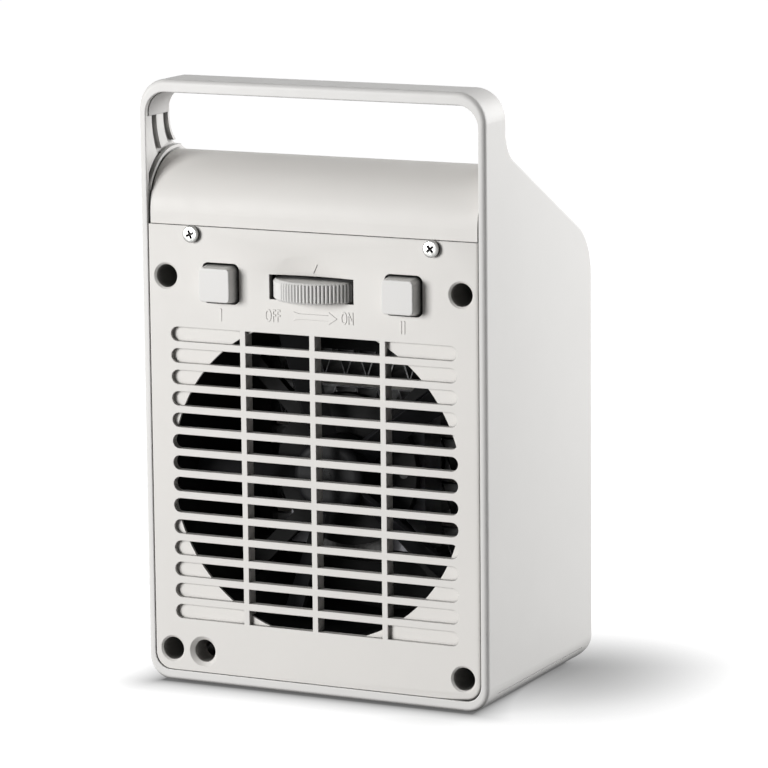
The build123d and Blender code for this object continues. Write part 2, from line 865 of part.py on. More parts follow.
# Fan duct: ring on the back of the cover, screw lugs, motor spider and a square flange for the heater
with BuildPart() as fan_duct:
    with BuildSketch(behind(cover_back)):
        with Locations(across(0, fan_height)):
            Circle(duct_outer)
            Circle(duct_inner, mode=Mode.SUBTRACT)
    extrude(amount=duct_front - cover_back)
    with BuildSketch(behind(cover_back + lug_post)):
        with Locations(across(0, fan_height)):
            with PolarLocations((duct_inner + lug_end) / 2, len(lug_places), start_angle=45):
                Rectangle(lug_end - duct_inner, lug_width)
            Circle(duct_inner, mode=Mode.SUBTRACT)
        with Locations(*lug_places):
            Circle(screw_hole, mode=Mode.SUBTRACT)
    extrude(amount=lug_thickness)
    with BuildSketch(behind(spider_rear)):
        with Locations(across(0, fan_height)):
            Circle(spider_ring)
            with PolarLocations((duct_inner + spider_bore) / 2, spider_arms, start_angle=45):
                Rectangle(duct_inner - spider_bore, arm_width)
            Circle(spider_bore, mode=Mode.SUBTRACT)
            with GridLocations(motor_screw_spread, 0, 2, 1):
                Circle(motor_screw_radius + pilot_fit, mode=Mode.SUBTRACT)
    extrude(amount=spider_thickness)
    with BuildSketch(behind(duct_front - duct_flange)):
        with Locations(across(0, fan_height)):
            Rectangle(2 * flange_half, 2 * flange_half)
            Circle(duct_inner, mode=Mode.SUBTRACT)
            with GridLocations(2 * (flange_half - lug_width), 2 * (flange_half - lug_width), 2, 2):
                Circle(pilot_radius, mode=Mode.SUBTRACT)
    extrude(amount=duct_flange)
save(fan_duct, "fan_duct")

# Axial fan: hub and twisted blades on the motor shaft
fan_line = Axis((0, 0, foot_height + fan_height), (0, 1, 0))
impeller_middle = rear_y - (impeller_rear + impeller_front) / 2
with BuildPart() as blade:
    for reach, angle in ((hub_radius - hub_round, blade_root_angle), (impeller_radius, blade_tip_angle)):
        blade_plane = Plane(
            origin=(reach, impeller_middle, foot_height + fan_height), x_dir=(0, 0, 1), z_dir=(1, 0, 0)
        )
        with BuildSketch(blade_plane):
            Rectangle(impeller_depth / sqrt(2), blade_thickness, rotation=angle)
    loft()
with BuildPart() as fan_impeller:
    with BuildSketch(behind(impeller_rear)):
        with Locations(across(0, fan_height)):
            Circle(hub_radius)
    extrude(amount=impeller_depth)
    fillet(fan_impeller.faces().sort_by(Axis.Y)[-1].edges(), hub_round)
    for turn in range(blade_count):
        add(blade.part.rotate(fan_line, turn * 360 / blade_count))
    with BuildSketch(behind(impeller_rear)):
        with Locations(across(0, fan_height)):
            Circle(motor_shaft_radius + bearing_fit)
    extrude(amount=impeller_depth, mode=Mode.SUBTRACT)
save(fan_impeller, "fan_impeller")

with BuildPart() as motor_shaft:
    with BuildSketch(behind(impeller_rear)):
        with Locations(across(0, fan_height)):
            Circle(motor_shaft_radius)
    extrude(amount=motor_front + motor_room / 2 - impeller_rear)
save(motor_shaft, "motor_shaft")

with BuildPart() as motor_rotor:
    with BuildSketch(behind(stack_rear)):
        with Locations(across(0, fan_height)):
            Circle(rotor_radius)
            Circle(motor_shaft_radius + bearing_fit, mode=Mode.SUBTRACT)
    extrude(amount=stack_thickness)
save(motor_rotor, "motor_rotor")

# Shaded-pole motor: laminated core with one coil on its lower leg
with BuildPart() as motor_stator:
    with BuildSketch(behind(stack_rear)):
        with Locations(across(0, fan_height + (stack_top - stack_bottom) / 2)):
            Rectangle(2 * stack_half_width, stack_top + stack_bottom)
        with Locations(across(0, fan_height - coil_drop - coil_window / 2)):
            Rectangle(2 * coil_window_half, coil_window, mode=Mode.SUBTRACT)
        with Locations(across(0, fan_height)):
            Circle(rotor_radius + air_gap, mode=Mode.SUBTRACT)
            with GridLocations(motor_screw_spread, 0, 2, 1):
                Circle(motor_screw_radius + pilot_fit, mode=Mode.SUBTRACT)
    extrude(amount=stack_thickness)
save(motor_stator, "motor_stator")

core_middle = fan_height - coil_drop - coil_window - core_leg / 2
hole_height = core_leg + 2 * coil_clearance
hole_depth = stack_thickness + 2 * coil_clearance
with BuildPart() as motor_coil:
    with BuildSketch(Plane.YZ):
        with Locations(side(stack_middle, core_middle)):
            RectangleRounded(hole_depth + 2 * coil_build, hole_height + 2 * coil_build, coil_round)
            Rectangle(hole_depth, hole_height, mode=Mode.SUBTRACT)
    extrude(amount=coil_window_half - coil_clearance, both=True)
save(motor_coil, "motor_coil")

with BuildPart() as rear_bearing_bracket:
    with BuildSketch(behind(spider_front)):
        with Locations(across(0, fan_height)):
            SlotOverall(2 * stack_half_width, 4 * bush_radius - 2 * motor_screw_radius)
    extrude(amount=bracket_plate)
    with BuildSketch(behind(spider_front + bracket_plate)):
        with Locations(across(0, fan_height)):
            with GridLocations(motor_screw_spread, 0, 2, 1):
                Circle(2 * motor_screw_radius)
    extrude(amount=bracket_leg)
    with BuildSketch(behind(spider_front)):
        with Locations(across(0, fan_height)):
            Circle(bush_radius + bush_boss_wall)
    extrude(amount=bush_length)
    with BuildSketch(behind(spider_front)):
        with Locations(across(0, fan_height)):
            Circle(bush_radius + bearing_fit)
            with GridLocations(motor_screw_spread, 0, 2, 1):
                Circle(motor_screw_radius + pilot_fit)
    extrude(amount=bracket_plate + bracket_leg, mode=Mode.SUBTRACT)
save(rear_bearing_bracket, "rear_bearing_bracket")

with BuildPart() as front_bearing_bracket:
    add(rear_bearing_bracket.part.mirror(behind(stack_middle)))
save(front_bearing_bracket, "front_bearing_bracket")

with BuildPart() as bearing_bushes:
    for start in (spider_front, motor_front - bush_length):
        with BuildSketch(behind(start)):
            with Locations(across(0, fan_height)):
                Circle(bush_radius)
                Circle(motor_shaft_radius + bearing_fit, mode=Mode.SUBTRACT)
        extrude(amount=bush_length)
save(bearing_bushes, "bearing_bushes")

with BuildPart() as motor_screws:
    with BuildSketch(behind(spider_rear)):
        with Locations(across(0, fan_height)):
            with GridLocations(motor_screw_spread, 0, 2, 1):
                Circle(motor_screw_radius)
    extrude(amount=motor_front - spider_rear)
    with BuildSketch(behind(motor_front)):
        with Locations(across(0, fan_height)):
            with GridLocations(motor_screw_spread, 0, 2, 1):
                RegularPolygon(2 * motor_screw_radius, 6)
    extrude(amount=head_height)
save(motor_screws, "motor_screws")

# Heater block: fin packs between ceramic strips with their electrodes, in a frame on the duct
with BuildPart() as heater_frame:
    with BuildSketch(behind(duct_front)):
        with Locations(across(0, fan_height)):
            Rectangle(2 * flange_half, 2 * flange_half)
            with GridLocations(2 * (flange_half - lug_width), 2 * (flange_half - lug_width), 2, 2):
                Circle(screw_hole, mode=Mode.SUBTRACT)
    extrude(amount=frame_flange)
    with BuildSketch(behind(duct_front)):
        with Locations(across(0, fan_height)):
            Rectangle(2 * (frame_half + frame_wall), block_height + 2 * frame_wall)
    extrude(amount=frame_front - duct_front)
    with BuildSketch(behind(fins_rear)):
        with Locations(across(0, fan_height)):
            Rectangle(2 * frame_half, block_height)
    extrude(amount=fin_depth, mode=Mode.SUBTRACT)
    with BuildSketch(behind(duct_front)):
        with Locations(across(0, fan_height)):
            Rectangle(2 * (frame_half - frame_lip), block_height - 2 * frame_lip)
    extrude(amount=frame_front - duct_front, mode=Mode.SUBTRACT)
save(heater_frame, "heater_frame")

corners = (lug_width - flange_half, flange_half - lug_width)
corner_places = [across(x, fan_height + z) for x in corners for z in corners]
heater_screws = screws(corner_places, duct_front + frame_flange, frame_flange + duct_flange, False)
save(heater_screws, "heater_screws")

fold_step = (stack_width - fin_sheet) / fin_folds
with BuildPart() as heater_fins:
    for row in range(fin_rows):
        low = block_low + row * row_step + fin_sheet / 2
        high = low + fin_row_height - fin_sheet
        folds = []
        for fold in range(fin_folds + 1):
            folds.append(across(fold_step * (fold - fin_folds / 2), low if fold % 2 else high))
        with BuildSketch(behind(fins_rear)):
            with BuildLine():
                Polyline(*folds)
            trace(line_width=fin_sheet)
            with Locations(across(0, (low + high) / 2)):
                Rectangle(stack_width, fin_row_height, mode=Mode.INTERSECT)
        extrude(amount=fin_depth)
save(heater_fins, "heater_fins")

strip_lows = [block_low + fin_row_height + row * row_step for row in range(fin_rows - 1)]
with BuildPart() as electrode_plates:
    with BuildSketch(behind(fins_rear)):
        for low in strip_lows:
            for rise in (electrode_thickness / 2, electrode_pair - electrode_thickness / 2):
                with Locations(across(0, low + rise)):
                    Rectangle(stack_width, electrode_thickness)
    extrude(amount=fin_depth)
save(electrode_plates, "electrode_plates")

with BuildPart() as ceramic_strips:
    with BuildSketch(behind(fins_rear)):
        for low in strip_lows:
            with Locations(across(0, low + electrode_pair / 2)):
                Rectangle(stack_width, ceramic_thickness)
    extrude(amount=fin_depth)
save(ceramic_strips, "ceramic_strips")

# Safety devices on top of the heater frame
frame_top = fan_height + block_height / 2 + frame_wall
device_y = rear_y - duct_front - frame_flange - cutout_radius - top_gap
with BuildPart() as thermal_cutout:
    with BuildSketch(level(frame_top)):
        with Locations((-2 * cutout_radius, device_y)):
            Circle(cutout_radius)
    extrude(amount=cutout_height)
    with BuildSketch(level(frame_top + cutout_height)):
        with Locations((-2 * cutout_radius, device_y)):
            Circle(cutout_cap)
    extrude(amount=frame_lip)
save(thermal_cutout, "thermal_cutout")

with BuildPart() as thermal_fuse:
    with BuildSketch(Plane.YZ.offset(2 * cutout_radius)):
        with Locations((device_y, foot_height + frame_top + fuse_radius)):
            Circle(fuse_radius)
    extrude(amount=fuse_length)
save(thermal_fuse, "thermal_fuse")

# Terminal block on the bottom wall, beside the cord inlet
terminal_x = inlet_x - inlet_wall / 2
with BuildPart() as terminal_block:
    with BuildSketch(level(bottom_wall)):
        with Locations((terminal_x, rear_y - well_end - 2 * well_wall - terminal_length / 2)):
            Rectangle(terminal_width, terminal_length)
    extrude(amount=terminal_height)
    with BuildSketch(level(bottom_wall + terminal_height)):
        with Locations((terminal_x, rear_y - well_end - 2 * well_wall - terminal_length / 2)):
            with GridLocations(0, terminal_length / terminal_poles, 1, terminal_poles):
                Circle(screw_hole)
    extrude(amount=-terminal_height / 2, mode=Mode.SUBTRACT)
save(terminal_block, "terminal_block")
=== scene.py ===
"""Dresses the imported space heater: softened mouldings, raised marks, screws, finishes and studio."""

from __future__ import annotations

import json
import logging
import math
from abc import ABC, abstractmethod
from collections.abc import Callable, Iterator
from contextlib import contextmanager
from dataclasses import dataclass
from enum import Enum

import bpy
from mathutils import Matrix, Vector

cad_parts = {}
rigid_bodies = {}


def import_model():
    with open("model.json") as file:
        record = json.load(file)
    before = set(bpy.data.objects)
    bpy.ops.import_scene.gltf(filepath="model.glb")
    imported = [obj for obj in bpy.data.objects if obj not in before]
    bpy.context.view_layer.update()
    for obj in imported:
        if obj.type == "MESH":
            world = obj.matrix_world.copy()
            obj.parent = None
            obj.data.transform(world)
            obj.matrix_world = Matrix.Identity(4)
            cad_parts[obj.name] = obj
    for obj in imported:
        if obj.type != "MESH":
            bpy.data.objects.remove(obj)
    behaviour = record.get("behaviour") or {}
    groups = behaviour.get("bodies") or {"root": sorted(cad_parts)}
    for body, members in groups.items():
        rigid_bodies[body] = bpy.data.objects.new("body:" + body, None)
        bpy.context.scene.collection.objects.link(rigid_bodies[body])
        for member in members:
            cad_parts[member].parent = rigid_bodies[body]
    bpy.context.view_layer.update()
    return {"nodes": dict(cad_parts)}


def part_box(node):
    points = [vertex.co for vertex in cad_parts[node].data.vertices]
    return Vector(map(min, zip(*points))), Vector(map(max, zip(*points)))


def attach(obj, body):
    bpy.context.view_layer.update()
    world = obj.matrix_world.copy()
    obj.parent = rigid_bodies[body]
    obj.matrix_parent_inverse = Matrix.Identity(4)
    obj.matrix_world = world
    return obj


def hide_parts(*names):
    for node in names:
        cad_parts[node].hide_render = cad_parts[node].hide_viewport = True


for leftover in list(bpy.data.objects):
    bpy.data.objects.remove(leftover)
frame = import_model()

MM = 0.001
WAVE_LENGTH = math.tau / 20  # of Blender's wave texture at a scale of 1
LEVEL = 0.9  # the share of a normal along Z from which a face counts as level
HOUSING = "housing"
LOG = logging.getLogger("heater")

Pair = tuple[float, float]
Colour = tuple[float, float, float]
Triple = tuple[float, float, float]
Sides = tuple[float, float, float, float]


class Slot(Enum):
    """The record's material slots."""

    SHELL = "shell_plastic"
    COVER = "cover_plastic"
    CONTROL = "control_plastic"
    ZINC = "screw_zinc"
    RUBBER = "foot_rubber"
    INNER = "inner_plastic"
    FAN = "fan_plastic"
    SHEET = "sheet_steel"
    CORE = "core_steel"
    TAPE = "coil_tape"
    BRONZE = "bush_bronze"
    ALUMINIUM = "heater_aluminium"
    CERAMIC = "heater_ceramic"


class Variant(Enum):
    """The versions that a slot's finish comes in: plain, a darker grey as painted shade, and knurled, with
    its own painted shade between the ribs.
    """

    PLAIN = "finish"
    SHADED = "shaded"
    KNURLED = "knurled"


class Facing(Enum):
    """Which way a part modelled upright along Z is turned."""

    REAR = Matrix.Rotation(math.radians(180), 4, "Z") @ Matrix.Rotation(math.radians(90), 4, "X")
    FRONT = Matrix.Rotation(math.radians(90), 4, "X")


class NodeSheet:
    """A material's nodes, laid one at a time round its surface shader."""

    def __init__(self, name: str) -> None:
        """Starts an empty sheet.

        Args:
            name: the material's name.
        """
        self.material = bpy.data.materials.new(name)
        self.material.use_nodes = True
        self.tree = self.material.node_tree
        self.shader = self.tree.nodes["Principled BSDF"]
        self.place = self.add("ShaderNodeTexCoord").outputs["Object"]
        self.normal: bpy.types.NodeSocket | None = None

    def add(self, kind: str, **settings: object) -> bpy.types.Node:
        """Adds a node.

        Args:
            kind: the node's type name.
            settings: its properties.

        Returns:
            The new node.
        """
        node = self.tree.nodes.new(kind)
        for name, value in settings.items():
            setattr(node, name, value)
        return node

    def link(self, source: bpy.types.NodeSocket, target: bpy.types.NodeSocket) -> None:
        """Joins two sockets."""
        self.tree.links.new(source, target)

    def noise(self, across: float, detail: float, stretch: Triple = (1, 1, 1)) -> bpy.types.NodeSocket:
        """Lays a noise over the piece.

        Args:
            across: the size of its spots, in metres.
            detail: how many finer layers it has.
            stretch: how much shorter the spots are along X, Y and Z.

        Returns:
            The noise's value.
        """
        mapping = self.add("ShaderNodeMapping")
        mapping.inputs["Scale"].default_value = stretch
        self.link(self.place, mapping.inputs["Vector"])
        noise = self.add("ShaderNodeTexNoise")
        noise.inputs["Scale"].default_value = 1 / across
        noise.inputs["Detail"].default_value = detail
        self.link(mapping.outputs["Vector"], noise.inputs["Vector"])
        return noise.outputs["Fac"]

    def bands(self, pitch: float, direction: str) -> bpy.types.NodeSocket:
        """Lays even bands over the piece.

        Args:
            pitch: the distance from band to band, in metres.
            direction: the axis they follow each other along.

        Returns:
            The bands' value.
        """
        wave = self.add("ShaderNodeTexWave", bands_direction=direction)
        wave.inputs["Scale"].default_value = WAVE_LENGTH / pitch
        self.link(self.place, wave.inputs["Vector"])
        return wave.outputs["Fac"]

    def spread(self, value: bpy.types.NodeSocket, low: float, high: float) -> bpy.types.NodeSocket:
        """Spreads a value's middle half over a range.

        Args:
            value: a value from 0 to 1.
            low: what a low value becomes.
            high: what a high value becomes.

        Returns:
            The spread value.
        """
        ranged = self.add("ShaderNodeMapRange")
        ranged.inputs["From Min"].default_value = 0.25
        ranged.inputs["From Max"].default_value = 0.75
        ranged.inputs["To Min"].default_value = low
        ranged.inputs["To Max"].default_value = high
        self.link(value, ranged.inputs["Value"])
        return ranged.outputs["Result"]

    def tint(self, value: bpy.types.NodeSocket, dark: Colour, light: Colour) -> None:
        """Colours the surface between two shades.

        Args:
            value: the pattern.
            dark: the colour where the pattern is low.
            light: the colour where the pattern is high.
        """
        mix = self.add("ShaderNodeMix", data_type="RGBA")
        mix.inputs["A"].default_value = (*dark, 1)
        mix.inputs["B"].default_value = (*light, 1)
        self.link(self.spread(value, 0, 1), mix.inputs["Factor"])
        self.link(mix.outputs["Result"], self.shader.inputs["Base Color"])

    def paint_shade_in_hollows(self, shade: Colour, reach: float, deep: float, clear: float) -> None:
        """Paints shade into deep holes and narrow gaps, darkening their colour where ambient occlusion is
        low, after the surface has its colour.

        Args:
            shade: the colour in the deepest places.
            reach: how far off a wall still shelters a place, in metres.
            deep: the open share of its surroundings at which a place is darkest.
            clear: the open share at which a place gets no painted shade.
        """
        colour = self.shader.inputs["Base Color"]
        unshaded = colour.links[0].from_socket
        shelter = self.add("ShaderNodeAmbientOcclusion", samples=8)
        shelter.inputs["Distance"].default_value = reach
        ranged = self.add("ShaderNodeMapRange", interpolation_type="SMOOTHSTEP")
        ranged.inputs["From Min"].default_value = deep
        ranged.inputs["From Max"].default_value = clear
        self.link(shelter.outputs["AO"], ranged.inputs["Value"])
        mix = self.add("ShaderNodeMix", data_type="RGBA")
        mix.inputs["A"].default_value = (*shade, 1)
        self.link(unshaded, mix.inputs["B"])
        self.link(ranged.outputs["Result"], mix.inputs["Factor"])
        self.link(mix.outputs["Result"], colour)

    def gloss(self, value: bpy.types.NodeSocket, low: float, high: float) -> None:
        """Varies the surface's roughness from low to high with a pattern."""
        self.link(self.spread(value, low, high), self.shader.inputs["Roughness"])

    def round_edges(self, radius: float) -> None:
        """Lets sharp edges catch the light as if they were rounded, before the relief is laid.

        Args:
            radius: the edges' radius, in metres.
        """
        bevel = self.add("ShaderNodeBevel", samples=6)
        bevel.inputs["Radius"].default_value = radius
        self.normal = bevel.outputs["Normal"]

    def relief(self, height: bpy.types.NodeSocket, depth: float) -> None:
        """Gives the surface a fine relief.

        Args:
            height: the pattern.
            depth: how deep it is, in metres.
        """
        bump = self.add("ShaderNodeBump")
        bump.inputs["Strength"].default_value = 1
        bump.inputs["Distance"].default_value = depth
        self.link(height, bump.inputs["Height"])
        if self.normal:
            self.link(self.normal, bump.inputs["Normal"])
        self.link(bump.outputs["Normal"], self.shader.inputs["Normal"])


@dataclass(frozen=True)
class Finish(ABC):
    """A surface finish for one of the record's slots.

    Its tones are shares of its colour and its sheen is shares of its roughness, each from low to high.
    """

    slot: Slot
    colour: Colour
    roughness: float
    variant: Variant = Variant.PLAIN
    tones: Pair = (1, 1)
    sheen: Pair = (0.9, 1)

    def shade(self, share: float) -> Colour:
        """Returns the colour made lighter or darker by a share."""
        return tuple(min(1.0, channel * share) for channel in self.colour)

    def paint(self, sheet: NodeSheet, pattern: bpy.types.NodeSocket) -> None:
        """Colours a sheet in the finish's tones, along a pattern."""
        dark, light = (self.shade(share) for share in self.tones)
        sheet.tint(pattern, dark, light)

    def polish(self, sheet: NodeSheet, pattern: bpy.types.NodeSocket) -> None:
        """Varies a sheet's roughness over the finish's sheen, along a pattern."""
        low, high = (self.roughness * share for share in self.sheen)
        sheet.gloss(pattern, low, high)

    def material(self) -> bpy.types.Material:
        """Returns the finish's material, made the first time it is asked for."""
        name = f"{self.slot.value}_{self.variant.value}"
        if name not in bpy.data.materials:
            self.lay(NodeSheet(name))
        return bpy.data.materials[name]

    @abstractmethod
    def lay(self, sheet: NodeSheet) -> None:
        """Lays the finish's nodes on a sheet."""


@dataclass(frozen=True)
class MouldedPlastic(Finish):
    """Injection-moulded plastic with a fine spark-eroded grain and faint flow shades."""

    tones: Pair = (0.985, 1.015)
    sheen: Pair = (0.9, 1.1)
    grain: float = 0.35 * MM
    grain_depth: float = 0.012 * MM
    flow: float = 45 * MM
    sheen_patch: float = 7.5 * MM
    shine: float = 0.28
    edge: float = 0.35 * MM
    # The painted shade in recesses and gaps: its darkest share of the colour, its reach and its open shares.
    hollow_shade: float = 0.24
    shade_reach: float = 22 * MM
    shade_open: Pair = (0.18, 0.5)

    def lay(self, sheet: NodeSheet) -> None:
        """Lays colour, painted shade in recesses and gaps, gloss, softened edges and grain."""
        sheet.shader.inputs["Specular IOR Level"].default_value = self.shine
        sheet.round_edges(self.edge)
        self.paint(sheet, sheet.noise(self.flow, detail=3))
        sheet.paint_shade_in_hollows(self.shade(self.hollow_shade), self.shade_reach, *self.shade_open)
        self.polish(sheet, sheet.noise(self.sheen_patch, detail=4))
        sheet.relief(sheet.noise(self.grain, detail=2), self.grain_depth)


@dataclass(frozen=True)
class WorkedMetal(Finish):
    """Plated, rolled or machined metal with marks drawn out along one axis."""

    tones: Pair = (0.92, 1.08)
    sheen: Pair = (0.75, 1.3)
    marks: float = 0.5 * MM
    drawn: Triple = (1, 1, 1)
    marks_depth: float = 0.004 * MM
    cloud_ratio: float = 12
    sheen_ratio: float = 4
    # The painted shade in recesses: its darkest share of the colour, its reach and its open shares.
    hollow_shade: float = 0.03
    shade_reach: float = 2.5 * MM
    shade_open: Pair = (0.58, 0.93)

    def lay(self, sheet: NodeSheet) -> None:
        """Lays the metal's colour, the painted shade in its recesses, its cloudy gloss and its working marks.
        """
        sheet.shader.inputs["Metallic"].default_value = 1
        self.paint(sheet, sheet.noise(self.cloud_ratio * self.marks, detail=3))
        sheet.paint_shade_in_hollows(self.shade(self.hollow_shade), self.shade_reach, *self.shade_open)
        self.polish(sheet, sheet.noise(self.sheen_ratio * self.marks, detail=4, stretch=self.drawn))
        sheet.relief(sheet.noise(self.marks, detail=3, stretch=self.drawn), self.marks_depth)


@dataclass(frozen=True)
class LaminatedCore(Finish):
    """Stamped core sheets, stacked along the motor's axis."""

    tones: Pair = (0.45, 1.1)
    sheen: Pair = (0.85, 1.2)
    sheet_pitch: float = 0.5 * MM
    sheet_depth: float = 0.03 * MM
    varnish_patch: float = 2 * MM

    def lay(self, sheet: NodeSheet) -> None:
        """Lays the edges of the sheets and their dull varnish."""
        sheet.shader.inputs["Metallic"].default_value = 1
        edges = sheet.bands(self.sheet_pitch, "Y")
        self.paint(sheet, edges)
        self.polish(sheet, sheet.noise(self.varnish_patch, detail=3))
        sheet.relief(edges, self.sheet_depth)


@dataclass(frozen=True)
class FiredCeramic(Finish):
    """Dense fired ceramic, speckled and matt."""

    tones: Pair = (0.75, 1.15)
    speck: float = 0.4 * MM
    speck_depth: float = 0.02 * MM

    def lay(self, sheet: NodeSheet) -> None:
        """Lays the specks and the dry surface."""
        specks = sheet.noise(self.speck, detail=4)
        self.paint(sheet, specks)
        self.polish(sheet, specks)
        sheet.relief(specks, self.speck_depth)


@dataclass(frozen=True)
class WoundTape(Finish):
    """Varnished tape wound over a coil in even turns."""

    tones: Pair = (0.8, 1.1)
    sheen: Pair = (0.7, 1.2)
    turn: float = 2.2 * MM
    turn_depth: float = 0.06 * MM
    varnish_patch: float = 3 * MM

    def lay(self, sheet: NodeSheet) -> None:
        """Lays the turns' edges and the uneven varnish."""
        turns = sheet.bands(self.turn, "X")
        self.paint(sheet, turns)
        self.polish(sheet, sheet.noise(self.varnish_patch, detail=3))
        sheet.relief(turns, self.turn_depth)


@dataclass(frozen=True)
class MattRubber(Finish):
    """Moulded rubber with a dry bloom."""

    tones: Pair = (0.8, 1.4)
    bloom: float = 1.5 * MM
    sheen_patch: float = 0.75 * MM
    tooth: float = 0.25 * MM
    tooth_depth: float = 0.025 * MM

    def lay(self, sheet: NodeSheet) -> None:
        """Lays the bloom and the fine tooth of the surface."""
        self.paint(sheet, sheet.noise(self.bloom, detail=5))
        self.polish(sheet, sheet.noise(self.sheen_patch, detail=3))
        sheet.relief(sheet.noise(self.tooth, detail=3), self.tooth_depth)


class Palette:
    """Every finish on the heater, by slot and variant."""

    def __init__(self) -> None:
        """Mixes the finishes."""
        warm_white = (0.765, 0.755, 0.738)
        control_gap = 7 * MM
        uneven = (0.75, 1.25)
        finishes = (
            MouldedPlastic(Slot.SHELL, warm_white, roughness=0.42),
            # The handle's liner is a darker grey than the shell: painted shade on its inner faces.
            MouldedPlastic(Slot.SHELL, (0.54, 0.53, 0.52), roughness=0.5, variant=Variant.SHADED),
            # The covers get painted shade in their screw wells, cord inlet and grille slots.
            MouldedPlastic(Slot.COVER, (0.785, 0.765, 0.735), roughness=0.48, shade_open=(0.28, 0.56)),
            # The buttons get painted shade in the gaps round them, and the knurled wheel painted shade
            # between its ribs.
            MouldedPlastic(
                Slot.CONTROL, warm_white, roughness=0.38,
                hollow_shade=0.04, shade_reach=control_gap, shade_open=(0.56, 0.98),
            ),
            MouldedPlastic(
                Slot.CONTROL, warm_white, roughness=0.38, variant=Variant.KNURLED,
                hollow_shade=0.3, shade_reach=control_gap, shade_open=(0.42, 0.9),
            ),
            MouldedPlastic(Slot.INNER, (0.006, 0.006, 0.006), roughness=0.62, tones=uneven, shine=0.15),
            MouldedPlastic(Slot.FAN, (0.006, 0.006, 0.007), roughness=0.55, tones=uneven, shine=0.2),
            # The screws get painted shade in their cross recesses and on the flanks of their heads.
            WorkedMetal(Slot.ZINC, (0.36, 0.36, 0.35), roughness=0.24, marks=0.3 * MM, hollow_shade=0.07),
            # The sheet steel and aluminium inside are far darker than bare metal, with painted shade reaching
            # far between the parts: painted shade for the dark inside of the heater.
            WorkedMetal(
                Slot.SHEET, (0.07, 0.07, 0.07), roughness=0.5,
                drawn=(1, 1, 0.1), shade_reach=15 * MM,
            ),
            WorkedMetal(
                Slot.ALUMINIUM, (0.22, 0.22, 0.225), roughness=0.5,
                drawn=(1, 0.12, 1), shade_reach=20 * MM,
            ),
            WorkedMetal(Slot.BRONZE, (0.52, 0.36, 0.17), roughness=0.45, marks=0.2 * MM),
            LaminatedCore(Slot.CORE, (0.16, 0.16, 0.17), roughness=0.5),
            WoundTape(Slot.TAPE, (0.018, 0.017, 0.016), roughness=0.5),
            FiredCeramic(Slot.CERAMIC, (0.50, 0.48, 0.44), roughness=0.8),
            MattRubber(Slot.RUBBER, (0.025, 0.025, 0.025), roughness=0.85),
        )
        self.finishes = {(finish.slot, finish.variant): finish for finish in finishes}

    def dress(self, piece: bpy.types.Object, slot: Slot, variant: Variant = Variant.PLAIN) -> None:
        """Puts a slot's material on a piece.

        Args:
            piece: the piece.
            slot: its material slot.
            variant: which of the slot's shades.
        """
        material = self.finishes[slot, variant].material()
        if not piece.data.materials:
            piece.data.materials.append(material)
        for held in piece.material_slots:
            held.material = material


